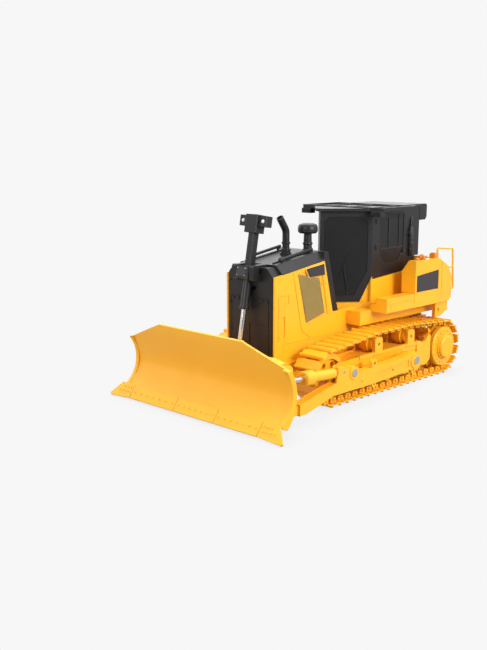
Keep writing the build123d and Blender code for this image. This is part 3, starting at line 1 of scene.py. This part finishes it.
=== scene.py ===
# A toy crawler dozer: surface materials for its CAD pieces, small added fittings and a pale studio.
# It stands on z = 0 with its front towards -Y, its left side at +X and its middle on x = 0.
# Added pieces are measured in millimetres; shaders, lights and the camera use metres.
import bpy
import bmesh
import json
import math
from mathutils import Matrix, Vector


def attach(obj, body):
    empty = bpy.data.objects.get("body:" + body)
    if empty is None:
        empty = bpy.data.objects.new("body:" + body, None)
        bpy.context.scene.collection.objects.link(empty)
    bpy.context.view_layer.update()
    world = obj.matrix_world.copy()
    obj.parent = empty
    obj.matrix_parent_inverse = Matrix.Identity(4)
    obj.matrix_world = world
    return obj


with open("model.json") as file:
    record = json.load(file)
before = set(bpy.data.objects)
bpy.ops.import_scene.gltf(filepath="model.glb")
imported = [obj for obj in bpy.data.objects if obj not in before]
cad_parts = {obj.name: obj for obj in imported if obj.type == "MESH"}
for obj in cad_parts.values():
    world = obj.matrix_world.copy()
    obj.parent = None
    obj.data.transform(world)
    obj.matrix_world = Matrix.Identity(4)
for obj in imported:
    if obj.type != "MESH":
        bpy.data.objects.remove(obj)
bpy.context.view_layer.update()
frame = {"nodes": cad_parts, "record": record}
NODES = frame["nodes"]
SLOT = {part["node"]: part["material_slot"] for part in frame["record"]["subparts"]}
MM = 0.001


# ------------------------------------------------------------------ node trees
class Nodes:
    """Builds the node tree of a material or world; helpers return output sockets."""

    def __init__(self, owner):
        owner.use_nodes = True
        self.tree = owner.node_tree
        self.tree.nodes.clear()

    def add(self, kind, inputs=None, **settings):
        """Adds a node; each input is given a value or the socket that feeds it."""
        node = self.tree.nodes.new("ShaderNode" + kind)
        for key, value in settings.items():
            setattr(node, key, value)
        for key, value in (inputs or {}).items():
            if isinstance(value, bpy.types.NodeSocket):
                self.tree.links.new(value, node.inputs[key])
            else:
                node.inputs[key].default_value = value
        return node

    def noise(self, vector, scale, detail, roughness=0.5):
        inputs = {"Vector": vector, "Scale": scale, "Detail": detail, "Roughness": roughness}
        return self.add("TexNoise", inputs).outputs["Fac"]

    def remap(self, value, source=(0.0, 1.0), target=(0.0, 1.0)):
        inputs = {
            "Value": value,
            "From Min": source[0], "From Max": source[1],
            "To Min": target[0], "To Max": target[1],
        }
        return self.add("MapRange", inputs).outputs["Result"]

    def mix_color(self, factor, first, second):
        # Sockets 6, 7 and output 2 are the colour ones of the Mix node.
        return self.add("Mix", {0: factor, 6: first, 7: second}, data_type="RGBA").outputs[2]

    def bevel(self, samples, radius):
        return self.add("Bevel", {"Radius": radius}, samples=samples).outputs["Normal"]

    def bump(self, height, normal, strength, distance):
        inputs = {"Strength": strength, "Distance": distance, "Height": height, "Normal": normal}
        return self.add("Bump", inputs).outputs["Normal"]

    def camera_split(self, lighting, seen):
        """One shader for lighting the machine, another for what the camera sees directly."""
        is_camera = self.add("LightPath").outputs["Is Camera Ray"]
        inputs = {0: is_camera, 1: lighting.outputs[0], 2: seen.outputs[0]}
        return self.add("MixShader", inputs).outputs[0]


# ------------------------------------------------------------------ materials
def plastic(name, base, dark, roughness, bump, grain=2200.0, edge=0.10, highlight_color=None,
            specular=0.5, coat=0.0, subsurface=0.0):
    """Moulded plastic: mottled colour, fine grain, softened edges with a painted highlight, and
    uneven sheen.
    """
    mat = bpy.data.materials.new(name)
    nodes = Nodes(mat)
    place = nodes.add("TexCoord").outputs["Object"]
    mottle = nodes.noise(place, scale=38.0, detail=3.0, roughness=0.55)
    mottle = nodes.remap(mottle, source=(0.35, 0.75), target=(0.0, 0.5))
    color = nodes.mix_color(mottle, (*base, 1), (*dark, 1))

    # Edges are where the bevelled normal turns away from the true one.
    soft_normal = nodes.bevel(samples=6, radius=0.00035)
    true_normal = nodes.add("NewGeometry").outputs["Normal"]
    agreement = nodes.add("VectorMath", {0: soft_normal, 1: true_normal}, operation="DOT_PRODUCT")
    edges = nodes.remap(agreement.outputs["Value"], source=(0.995, 0.86), target=(0.0, edge))
    # Painted highlight: the edges are lightened towards a paler colour, in patches set by noise.
    highlight_breakup = nodes.noise(place, scale=420.0, detail=4.0)
    edge_highlight_mask = nodes.add("Math", {0: edges, 1: highlight_breakup}, operation="MULTIPLY").outputs[0]
    if highlight_color is None:
        highlight_color = tuple(min(1.0, c * 1.25 + 0.02) for c in base)
    color = nodes.mix_color(edge_highlight_mask, color, (*highlight_color, 1))

    sheen = nodes.noise(place, scale=160.0, detail=5.0, roughness=0.65)
    grain_height = nodes.noise(place, scale=grain, detail=2.0)
    inputs = {
        "Base Color": color,
        "Roughness": nodes.remap(sheen, target=(roughness - 0.06, roughness + 0.08)),
        "Normal": nodes.bump(grain_height, soft_normal, strength=bump, distance=0.0002),
        "Specular IOR Level": specular,
        "Coat Weight": coat,
        "Coat Roughness": 0.12,
    }
    if subsurface:
        inputs["Subsurface Weight"] = subsurface
        inputs["Subsurface Radius"] = (0.0022, 0.0010, 0.0003)
        inputs["Subsurface Scale"] = 1.0
    surface = nodes.add("BsdfPrincipled", inputs).outputs["BSDF"]
    nodes.add("OutputMaterial", {"Surface": surface})
    return mat


def metal(name, base, roughness):
    """Plated metal with a fine uneven finish and patches of duller plate."""
    mat = bpy.data.materials.new(name)
    nodes = Nodes(mat)
    place = nodes.add("TexCoord").outputs["Object"]
    mapped = nodes.add("Mapping", {"Vector": place}).outputs["Vector"]
    finish = nodes.noise(mapped, scale=900.0, detail=4.0)
    patches = nodes.noise(place, scale=90.0, detail=3.0)
    dull = tuple(c * 0.82 for c in base)
    soft_normal = nodes.bevel(samples=4, radius=0.0002)
    rough_range = (max(0.02, roughness - 0.07), roughness + 0.1)
    surface = nodes.add("BsdfPrincipled", {
        "Metallic": 1.0,
        "Base Color": nodes.mix_color(patches, (*base, 1), (*dull, 1)),
        "Roughness": nodes.remap(finish, target=rough_range),
        "Normal": nodes.bump(finish, soft_normal, strength=0.03, distance=0.0001),
    }).outputs["BSDF"]
    nodes.add("OutputMaterial", {"Surface": surface})
    return mat


# Materials of the CAD pieces, by slot. Plastics give their base and darker mottling colours.
MAT = {
    "yellow_body": plastic(
        "yellow_moulded", (0.90, 0.425, 0.013), (0.84, 0.370, 0.009),
        roughness=0.30, bump=0.04, edge=0.30, highlight_color=(1.0, 0.60, 0.08)),
    "black_body": plastic(
        "black_moulded", (0.0125, 0.0115, 0.0125), (0.008, 0.0075, 0.008),
        roughness=0.36, bump=0.05, edge=0.45, highlight_color=(0.07, 0.066, 0.07), specular=0.42),
    "black_gloss": plastic(
        "black_glazing", (0.009, 0.009, 0.010), (0.006, 0.006, 0.007),
        roughness=0.28, bump=0.01, edge=0.4, highlight_color=(0.05, 0.05, 0.05), specular=0.35),
    "orange_caps": plastic(
        "orange_moulded", (0.70, 0.235, 0.012), (0.48, 0.13, 0.008),
        roughness=0.35, bump=0.05, edge=0.4, highlight_color=(0.95, 0.55, 0.10)),
    "steel_pins": metal("plated_steel", (0.83, 0.82, 0.80), roughness=0.15),
    "gear_nylon": plastic(
        "natural_nylon", (0.75, 0.73, 0.64), (0.66, 0.63, 0.54),
        roughness=0.45, bump=0.08, subsurface=0.2),
    "motor_can": metal("motor_can", (0.60, 0.61, 0.63), roughness=0.28),
    "board": plastic(
        "board_green", (0.02, 0.16, 0.05), (0.015, 0.10, 0.035), roughness=0.3, bump=0.05),
    "cells": plastic(
        "cell_sleeve", (0.05, 0.10, 0.26), (0.04, 0.07, 0.2), roughness=0.25, bump=0.02),
    "contacts": metal("contact_spring", (0.72, 0.71, 0.68), roughness=0.25),
    "screws": metal("dark_screw", (0.26, 0.26, 0.28), roughness=0.3),
}
YELLOW = MAT["yellow_body"]
BLACK = MAT["black_body"]

# Materials of the added pieces.
SCREEN = plastic("screen_olive", (0.46, 0.33, 0.095), (0.38, 0.27, 0.075),
                 roughness=0.5, bump=0.08, edge=0.2)
WIRE = plastic("screen_wire", (0.30, 0.21, 0.062), (0.24, 0.165, 0.05),
               roughness=0.55, bump=0.05, edge=0.2)
PLATE = plastic("plate_dark", (0.034, 0.026, 0.030), (0.026, 0.020, 0.023),
                roughness=0.32, bump=0.02, edge=0.4, highlight_color=(0.12, 0.11, 0.11))
TRIM = plastic("trim_pale_yellow", (0.95, 0.52, 0.10), (0.90, 0.46, 0.07),
               roughness=0.35, bump=0.03)
INSERT = plastic("slot_orange", (0.80, 0.25, 0.008), (0.72, 0.21, 0.006),
                 roughness=0.4, bump=0.04)
LENS = plastic("lamp_lens", (0.72, 0.74, 0.76), (0.60, 0.62, 0.65),
               roughness=0.08, bump=0.02, coat=0.6, subsurface=0.1)
RED_LENS = plastic("lamp_lens_red", (0.50, 0.018, 0.012), (0.36, 0.010, 0.008),
                   roughness=0.10, bump=0.02, coat=0.6)
RUBBER = plastic("hose_rubber", (0.012, 0.012, 0.012), (0.008, 0.008, 0.008),
                 roughness=0.5, bump=0.15, grain=900.0)
FASTENER = metal("fastener_plated", (0.55, 0.54, 0.52), roughness=0.3)

for name, ob in NODES.items():
    ob.data.materials.clear()
    ob.data.materials.append(MAT[SLOT[name]])
# Only the ends of the roller and idler pins show, in the frame's holes. Their darker steel colour
# is painted shade from the holes; their rougher finish is their own.
PIN_STEEL_SHADED = metal("pin_steel_rough_painted_shade", (0.42, 0.40, 0.36), roughness=0.35)
NODES["axle_pins"].data.materials[0] = PIN_STEEL_SHADED


# ------------------------------------------------------------------ outlines
def rectangle(a0, a1, b0, b1):
    return [(a0, b0), (a1, b0), (a1, b1), (a0, b1)]


def rounded(a, b, width, height, radius, steps=5):
    """A rectangle round (a, b) with rounded corners, each in a number of steps."""
    points = []
    for side_a, side_b, start in ((1, 1, 0), (-1, 1, 90), (-1, -1, 180), (1, -1, 270)):
        for k in range(steps + 1):
            angle = math.radians(start + 90 * k / steps)
            points.append((a + side_a * (width / 2 - radius) + radius * math.cos(angle),
                           b + side_b * (height / 2 - radius) + radius * math.sin(angle)))
    return points


def shrink(outline, distance):
    """Pulls a convex outline's corners towards its middle."""
    middle = Vector([sum(p[i] for p in outline) / len(outline) for i in (0, 1)])
    points = []
    for corner in outline:
        inward = middle - Vector(corner)
        points.append((corner[0] + inward.x / inward.length * distance,
                       corner[1] + inward.y / inward.length * distance))
    return points


def clip(outline, axis, value):
    """Where the line axis = value crosses a convex outline: (low, high) on the other axis."""
    other = 1 - axis
    hits = []
    for k, p in enumerate(outline):
        q = outline[(k + 1) % len(outline)]
        if (p[axis] - value) * (q[axis] - value) < 0:
            t = (value - p[axis]) / (q[axis] - p[axis])
            hits.append(p[other] + t * (q[other] - p[other]))
    return (min(hits), max(hits)) if len(hits) >= 2 else None


def along_x(point, x):
    return (x, *point)


def along_y(point, y):
    return (point[0], y, point[1])


# ------------------------------------------------------------------ solids
class Shape:
    """Gathers closed solids into one mesh, in millimetres."""

    def __init__(self):
        self.bm = bmesh.new()

    def extrude(self, outline, place, start, end):
        """A prism; place(point, distance) turns an outline point into a 3D one."""
        near = [self.bm.verts.new(place(p, start)) for p in outline]
        far = [self.bm.verts.new(place(p, end)) for p in outline]
        self.bm.faces.new(near)
        self.bm.faces.new(list(reversed(far)))
        for k in range(len(outline)):
            j = (k + 1) % len(outline)
            self.bm.faces.new((near[j], near[k], far[k], far[j]))
        return self

    def plate(self, outline, sign, face, near, far):
        """A (y, z) outline on the side face at x = sign * face, between two heights off it."""
        return self.extrude(outline, along_x, sign * (face + near), sign * (face + far))

    def block(self, x0, x1, y0, y1, z0, z1, chamfer=0.15):
        """A block whose edges along X are chamfered."""
        c = chamfer
        outline = [(y0 + c, z0), (y1 - c, z0), (y1, z0 + c), (y1, z1 - c),
                   (y1 - c, z1), (y0 + c, z1), (y0, z1 - c), (y0, z0 + c)]
        return self.extrude(outline, along_x, x0, x1)

    def lathe(self, profile, origin, axis, segments=24):
        """A turned solid; the (radius, height) profile starts and ends on the axis."""
        axis = Vector(axis).normalized()
        u = axis.orthogonal().normalized()
        w = axis.cross(u)
        rings = []
        for radius, height in profile:
            middle = Vector(origin) + axis * height
            if radius < 1e-6:
                rings.append([self.bm.verts.new(middle)])
                continue
            angles = [2 * math.pi * k / segments for k in range(segments)]
            rings.append([
                self.bm.verts.new(middle + (u * math.cos(t) + w * math.sin(t)) * radius)
                for t in angles])
        for p, q in zip(rings, rings[1:]):
            for k in range(segments):
                j = (k + 1) % segments
                if len(p) == 1:
                    self.bm.faces.new((p[0], q[k], q[j]))
                elif len(q) == 1:
                    self.bm.faces.new((p[k], q[0], p[j]))
                else:
                    self.bm.faces.new((p[k], q[k], q[j], p[j]))
        return self

    def bolt(self, origin, axis, r):
        """A hex head on a round washer."""
        washer = [(0, 0), (r * 1.25, 0), (r * 1.25, 0.16), (r * 1.1, 0.24), (0, 0.24)]
        self.lathe(washer, origin, axis, 20)
        head = [(0, 0), (r, 0), (r, 0.42), (r * 0.84, 0.56), (0, 0.56)]
        return self.lathe(head, Vector(origin) + Vector(axis).normalized() * 0.22, axis, 6)

    def screw(self, origin, axis, r):
        """A low domed head with a dimple."""
        profile = [(0, 0), (r, 0), (r, 0.14), (r * 0.8, 0.30), (r * 0.5, 0.37),
                   (r * 0.34, 0.38), (r * 0.26, 0.2), (0, 0.18)]
        return self.lathe(profile, origin, axis, 20)

    def tube(self, points, radius, segments=12, steps=8):
        """A round tube along a Catmull-Rom curve, with a number of steps between points."""
        points = [Vector(p) for p in points]
        last = len(points) - 1
        path = []
        for k in range(last):
            p0, p1, p2, p3 = (points[min(max(i, 0), last)] for i in range(k - 1, k + 3))
            for i in range(steps):
                t = i / steps
                path.append(0.5 * ((2 * p1) + (p2 - p0) * t
                                   + (2 * p0 - 5 * p1 + 4 * p2 - p3) * t * t
                                   + (3 * p1 - p0 - 3 * p2 + p3) * t ** 3))
        path.append(points[-1])
        u = (path[1] - path[0]).orthogonal().normalized()
        angles = [2 * math.pi * i / segments for i in range(segments)]
        rings = []
        for k, p in enumerate(path):
            along = (path[min(k + 1, len(path) - 1)] - path[max(k - 1, 0)]).normalized()
            # Carrying u from ring to ring keeps the tube from twisting.
            u = (u - along * u.dot(along)).normalized()
            w = along.cross(u)
            rings.append([
                self.bm.verts.new(p + (u * math.cos(t) + w * math.sin(t)) * radius)
                for t in angles])
        for p, q in zip(rings, rings[1:]):
            for k in range(segments):
                j = (k + 1) % segments
                self.bm.faces.new((p[k], p[j], q[j], q[k]))
        self.bm.faces.new(list(reversed(rings[0])))
        self.bm.faces.new(rings[-1])
        return self

    def make(self, name, mat, body="hull", smooth=False):
        """Turns the solids into an object that rides on a body of the machine."""
        bmesh.ops.recalc_face_normals(self.bm, faces=self.bm.faces)
        bmesh.ops.scale(self.bm, vec=(MM, MM, MM), verts=self.bm.verts)
        mesh = bpy.data.meshes.new(name)
        self.bm.to_mesh(mesh)
        self.bm.free()
        if smooth:
            mesh.shade_smooth()
            mesh.set_sharp_from_angle(angle=math.radians(35))
        mesh.materials.append(mat)
        ob = bpy.data.objects.new(name, mesh)
        bpy.context.scene.collection.objects.link(ob)
        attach(ob, body)


def side_heads(head, spots, sign, face, radius):
    """Bolt or screw heads at (y, z) spots on the side face at x = sign * face."""
    shape = Shape()
    for y, z in spots:
        head(shape, (sign * face, y, z), (sign, 0, 0), radius)
    return shape


# ------------------------------------------------------------------ pieces on both sides
HOOD_SIDE = 24.0     # |x| of the hood's side faces
BADGE_BACK = 49.62   # |x| of the badge plate's inner face
WINDOW_SIDE = 26.64  # |x| of the side window bars' inner faces
TRACK_SIDE = 49.31   # |x| where the track frame bolts sit
ARM_SIDE = 64.01     # |x| where the push arm bolts sit

# (y, z) outlines and spots
SCREEN_OUTLINE = [(-42.9, 93.0), (-19.4, 88.0), (-12.9, 61.8), (-33.6, 56.7)]
TAG_OUTLINE = [(-35.7, 96.0), (-14.4, 98.6), (-13.0, 89.8), (-31.6, 89.2)]
BADGE_OUTLINE = [(68.5, 70.6), (98.5, 70.6), (98.4, 85.7), (68.4, 83.2)]
DOOR_SCREWS = [(-15.6, 83.4), (-11.7, 83.8), (-61.4, 70.0), (-61.4, 50.0)]
TRACK_BOLTS = [
    (-33.0, 22.0), (-14.0, 14.6), (10.0, 14.0), (38.0, 14.0), (66.0, 14.0),
    (76.0, 24.0), (8.0, 28.4), (39.0, 28.4), (66.0, 28.4),
]
ARM_BOLTS = [(20.0, 20.0), (-18.0, 18.2)]

WIRE_PITCH = 0.9
WIRE_HALF = 0.11
# axis the wires are spaced along (0: y, 1: z), first wire, count, height off the hood
WIRE_SETS = [(0, -43.0, 35, 0.42), (1, 57.0, 40, 0.56)]
WIRE_DEPTH = 0.14


def cooling_screen(sign, side):
    """Frame, backing and two crossed layers of wires."""
    frame_shape = Shape().plate(SCREEN_OUTLINE, sign, HOOD_SIDE, 0.02, 0.32)
    frame_shape.make(side + "_screen_frame", WIRE)
    opening = shrink(SCREEN_OUTLINE, 0.9)
    Shape().plate(opening, sign, HOOD_SIDE, 0.33, 0.42).make(side + "_screen_back", SCREEN)
    wires = Shape()
    for axis, first, count, height in WIRE_SETS:
        for k in range(count):
            middle = first + k * WIRE_PITCH
            span = clip(opening, axis, middle)
            if not span or span[1] - span[0] <= 1:
                continue
            width = (middle - WIRE_HALF, middle + WIRE_HALF)
            outline = rectangle(*width, *span) if axis == 0 else rectangle(*span, *width)
            wires.plate(outline, sign, HOOD_SIDE, height, height + WIRE_DEPTH)
    wires.make(side + "_screen_mesh", WIRE)


def tag(sign, side):
    """Blank plate with a pale rim."""
    Shape().plate(TAG_OUTLINE, sign, HOOD_SIDE, 0.02, 0.80).make(side + "_tag_rim", TRIM)
    blank = shrink(TAG_OUTLINE, 0.8)
    Shape().plate(blank, sign, HOOD_SIDE, 0.81, 0.98).make(side + "_tag_plate", PLATE)


def slot_insert(sign, side):
    """Insert sunk in the slot near the front of the hood."""
    outline = rounded(-58.4, 56.2, width=4.0, height=15.8, radius=1.1)
    Shape().plate(outline, sign, HOOD_SIDE, -1.75, -1.0).make(side + "_slot_insert", INSERT)


def door_screws(sign, side):
    screws = side_heads(Shape.screw, DOOR_SCREWS, sign, HOOD_SIDE + 0.01, radius=0.75)
    screws.make(side + "_door_screws", YELLOW, smooth=True)


def badge(sign, side):
    """Blank plate on the tank, with a rivet near each corner."""
    Shape().plate(BADGE_OUTLINE, sign, BADGE_BACK, 0, 0.32).make(side + "_badge_plate", PLATE)
    corners = shrink(BADGE_OUTLINE, 1.8)
    rivets = side_heads(Shape.screw, corners, sign, BADGE_BACK + 0.33, radius=0.5)
    rivets.make(side + "_badge_rivets", PLATE, smooth=True)


def window_bars(sign, side):
    """Two uprights and the sill rail outside the side pane."""
    rail_bottom, rail_top = 103.4, 104.8
    # outline, thickness
    bars = [
        (rectangle(60.9, 62.1, 105.0, 127.6), 0.41),
        (rectangle(50.2, 81.1, rail_bottom, rail_top), 0.46),
        (rectangle(74.6, 75.8, rail_top, 130.2), 0.41),
    ]
    shape = Shape()
    for outline, thickness in bars:
        shape.plate(outline, sign, WINDOW_SIDE, 0, thickness)
    shape.make(side + "_window_bars", BLACK)


def filter_canister(sign, side):
    """Upright canister with a raised band, a bent pipe on top and two brackets."""
    x, y = sign * 27.4, 90.4
    profile = [(0, 0), (2.0, 0), (2.2, 0.4), (2.2, 9.0), (2.5, 9.4), (2.5, 11.0),
               (2.2, 11.4), (2.2, 22.0), (1.8, 23.4), (0, 23.6)]
    pipe = [(x, y, 119.0), (x, 90.6, 123.0), (sign * 27.0, 92.0, 126.5),
            (sign * 25.6, 94.4, 128.0)]
    shape = Shape().lathe(profile, (x, y, 95.8), (0, 0, 1), 28)
    shape.tube(pipe, radius=0.9)
    x0, x1 = sorted((sign * 26.6, sign * 29.2))
    for z in (100.0, 112.0):
        shape.block(x0, x1, y - 2.5, y + 2.5, z, z + 1.6)
    shape.make(side + "_filter", BLACK, smooth=True)


def wiper(sign, side):
    """Arm, blade and pivot on the front pane, which slants back from the middle."""
    across = Vector((27.0 * sign, 30.6, 0)).normalized()
    outward = Vector((across.y, -across.x, 0)) * sign

    def on_pane(distance, z, height):
        point = Vector((0, 9.4, 0)) + across * distance + outward * height
        return (point.x, point.y, z)

    pivot, pivot_z = 22.0, 70.6
    arm = [on_pane(pivot, pivot_z, 0.15), on_pane(20.5, 80.0, 0.35), on_pane(18.5, 92.0, 0.30)]
    blade = [on_pane(15.6, 84.0, 0.05), on_pane(19.0, 92.5, 0.05), on_pane(22.2, 101.0, 0.05)]
    cap = [(0, -0.5), (1.0, -0.5), (1.0, 0.35), (0.7, 0.6), (0, 0.65)]
    shape = Shape().tube(arm, radius=0.32, segments=8).tube(blade, radius=0.30, segments=8)
    shape.lathe(cap, on_pane(pivot, pivot_z, -0.1), outward, 18)
    shape.make(side + "_wiper", RUBBER, smooth=True)


def roof_lamp(sign, side):
    outline = rounded(sign * 34.3, 132.1, width=7.6, height=2.9, radius=0.7)
    lens = Shape().extrude(outline, along_y, 32.62, 33.0)
    lens.make(side + "_roof_lamp_lens", MAT["black_gloss"])


def rear_lamp(sign, side):
    profile = [(0, 0), (2.45, 0), (2.45, 0.9), (2.0, 1.35), (1.2, 1.6), (0, 1.7)]
    lens = Shape().lathe(profile, (sign * 38.0, 122.5, 68.0), (0, 1, 0), 32)
    lens.make(side + "_rear_lamp_lens", RED_LENS, smooth=True)


def track_and_arm_bolts(sign, side):
    track = side_heads(Shape.bolt, TRACK_BOLTS, sign, TRACK_SIDE, radius=0.8)
    track.make(side + "_track_frame_bolts", YELLOW)
    arm = side_heads(Shape.bolt, ARM_BOLTS, sign, ARM_SIDE, radius=0.75)
    arm.make(side + "_arm_bolts", YELLOW, "push_frame")


SIDE_PIECES = (
    cooling_screen, tag, slot_insert, door_screws, badge, window_bars,
    filter_canister, wiper, roof_lamp, rear_lamp, track_and_arm_bolts,
)
for sign, side in ((1, "left"), (-1, "right")):
    for build in SIDE_PIECES:
        build(sign, side)

# ------------------------------------------------------------------ lift cylinder fittings
LIFT_ORIGIN = Vector((0, -67.9, 96.0))
LIFT_UP = Vector((0.0, 13.8, 76.0)).normalized()
LIFT_BACK = Vector((0.0, LIFT_UP.z, -LIFT_UP.y))
YOKE_FRONT = -7.95  # front of the yoke plate, along LIFT_BACK


def on_lift(point, back):
    """An (x, up) point of the leaning cylinder's own frame, at a distance back."""
    return LIFT_ORIGIN + Vector((point[0], 0, 0)) + LIFT_BACK * back + LIFT_UP * point[1]


def yoke_plate():
    """Blank plate on the front of the yoke, with four rivets."""
    outline = rounded(0, -1.6, width=8.6, height=6.4, radius=0.5)
    Shape().extrude(outline, on_lift, -7.62, YOKE_FRONT).make("yoke_plate", PLATE, "lift_cylinder")
    rivets = Shape()
    for up in (0.9, -4.1):
        for x in (-3.6, 3.6):
            rivets.screw(on_lift((x, up), YOKE_FRONT), -LIFT_BACK, 0.45)
    rivets.make("yoke_plate_rivets", FASTENER, "lift_cylinder", smooth=True)


def post_lamps():
    profile = [(0, 0), (1.42, 0), (1.42, 0.5), (1.15, 0.9), (0.6, 1.1), (0, 1.15)]
    lenses = Shape()
    for x in (9.6, -9.6):
        lenses.lathe(profile, on_lift((x, 34.8), -1.9), -LIFT_BACK)
    lenses.make("post_lamp_lenses", LENS, "lift_cylinder", smooth=True)


# ------------------------------------------------------------------ single pieces on the hull
def stack_bands():
    """Bands round the exhaust and the pre-cleaner."""
    exhaust = [(0, 0), (3.2, 0), (3.2, 1.4), (0, 1.4)]
    cleaner = [(0, 0), (3.5, 0), (3.7, 0.3), (3.7, 1.3), (3.5, 1.6), (0, 1.6)]
    shape = Shape().lathe(exhaust, (0, -29.3, 112.0), (0, 0, 1), 32)
    shape.lathe(cleaner, (8.0, -14.2, 111.0), (0, 0, 1), 36)
    shape.make("stack_bands", BLACK, smooth=True)


def guard_bolts():
    """A column of bolts down each edge of the front guard."""
    bolts = Shape()
    for x in (-19.6, 19.6):
        for z in (32.0, 52.0, 72.0, 88.0):
            bolts.bolt((x, -67.01, z), (0, -1, 0), 0.7)
    bolts.make("guard_bolts", BLACK)


def air_unit_slats():
    """Level slats on the air unit at the back of the cab."""
    slats = Shape()
    for k in range(5):
        z = 127.6 + 1.6 * k
        slats.extrude(rectangle(-20.0, 20.0, z, z + 0.7), along_y, 114.02, 114.5)
    slats.make("air_unit_slats", PLATE)


for build in (yoke_plate, post_lamps, stack_bands, guard_bolts, air_unit_slats):
    build()

# ------------------------------------------------------------------ floor, light, camera
scene = bpy.context.scene
scene.view_settings.view_transform = "Standard"
scene.view_settings.look = "None"


def make_floor():
    """Evenly bright floor with a painted contact shadow, a little darker close under the machine.
    """
    mesh = bpy.data.meshes.new("floor")
    bm = bmesh.new()
    bmesh.ops.create_grid(bm, x_segments=1, y_segments=1, size=30.0)
    bm.to_mesh(mesh)
    bm.free()
    floor = bpy.data.objects.new("floor", mesh)
    floor.location = (0, 0, -0.0001)
    scene.collection.objects.link(floor)
    mat = bpy.data.materials.new("floor_pale")
    nodes = Nodes(mat)
    # Painted contact shadow: ambient occlusion dims the floor's emission near the machine.
    contact_shadow = nodes.add("AmbientOcclusion", {"Distance": 0.018}, samples=8).outputs["AO"]
    brightness = nodes.remap(contact_shadow, target=(0.80, 0.930))
    seen = nodes.add("Emission", {"Strength": brightness})
    lighting = nodes.add("Emission", {"Strength": 0.55})
    nodes.add("OutputMaterial", {"Surface": nodes.camera_split(lighting, seen)})
    mesh.materials.append(mat)


def make_world():
    """Studio that is brightest opposite the camera and dim round it, behind an even backdrop."""
    world = bpy.data.worlds.new("studio")
    scene.world = world
    nodes = Nodes(world)
    camera_side = (0.690, -0.698, 0.19)
    direction = nodes.add("TexCoord").outputs["Generated"]
    facing = nodes.add("VectorMath", {0: direction, 1: camera_side}, operation="DOT_PRODUCT")
    facing = facing.outputs["Value"]
    far_glow = nodes.remap(facing, source=(-1.0, 0.15), target=(1.35, 0.0))
    near_fall = nodes.remap(facing, source=(0.15, 1.0), target=(0.80, 0.18))
    strength = nodes.add("Math", {0: far_glow, 1: near_fall}, operation="ADD").outputs[0]
    lighting = nodes.add("Background", {"Color": (1, 1, 1, 1), "Strength": strength})
    seen = nodes.add("Background", {"Color": (0.93, 0.93, 0.93, 1)})
    nodes.add("OutputWorld", {"Surface": nodes.camera_split(lighting, seen)})


def area_light(name, place, target, size, power):
    data = bpy.data.lights.new(name, "AREA")
    data.energy = power
    data.size = size
    light = bpy.data.objects.new(name, data)
    light.location = place
    aim(light, Vector(target) - Vector(place))


def aim(ob, direction):
    """Points a light or camera along a direction and adds it to the scene."""
    ob.rotation_mode = "QUATERNION"
    ob.rotation_quaternion = direction.to_track_quat("-Z", "Y")
    scene.collection.objects.link(ob)


def make_camera():
    turn = math.radians(44.67)  # from +Y towards -X
    dip = math.radians(10.9)    # below level
    data = bpy.data.cameras.new("camera")
    data.sensor_width = 36.0
    data.lens = 48.6470769
    data.clip_start = 0.02
    data.clip_end = 100
    camera = bpy.data.objects.new("camera", data)
    camera.location = (0.43057, -0.50909, 0.17530)
    aim(camera, Vector((-math.sin(turn) * math.cos(dip),
                        math.cos(turn) * math.cos(dip),
                        -math.sin(dip))))
    scene.camera = camera


make_floor()
make_world()
area_light("key", place=(0.95, 0.02, 0.50), target=(0, 0, 0.05), size=0.55, power=11.0)
area_light("front", place=(0.02, -0.62, 0.32), target=(0, -0.11, 0.03), size=0.35, power=2.1)
area_light("top", place=(0.0, 0.15, 1.05), target=(0, 0, 0.05), size=0.8, power=6.0)
make_camera()
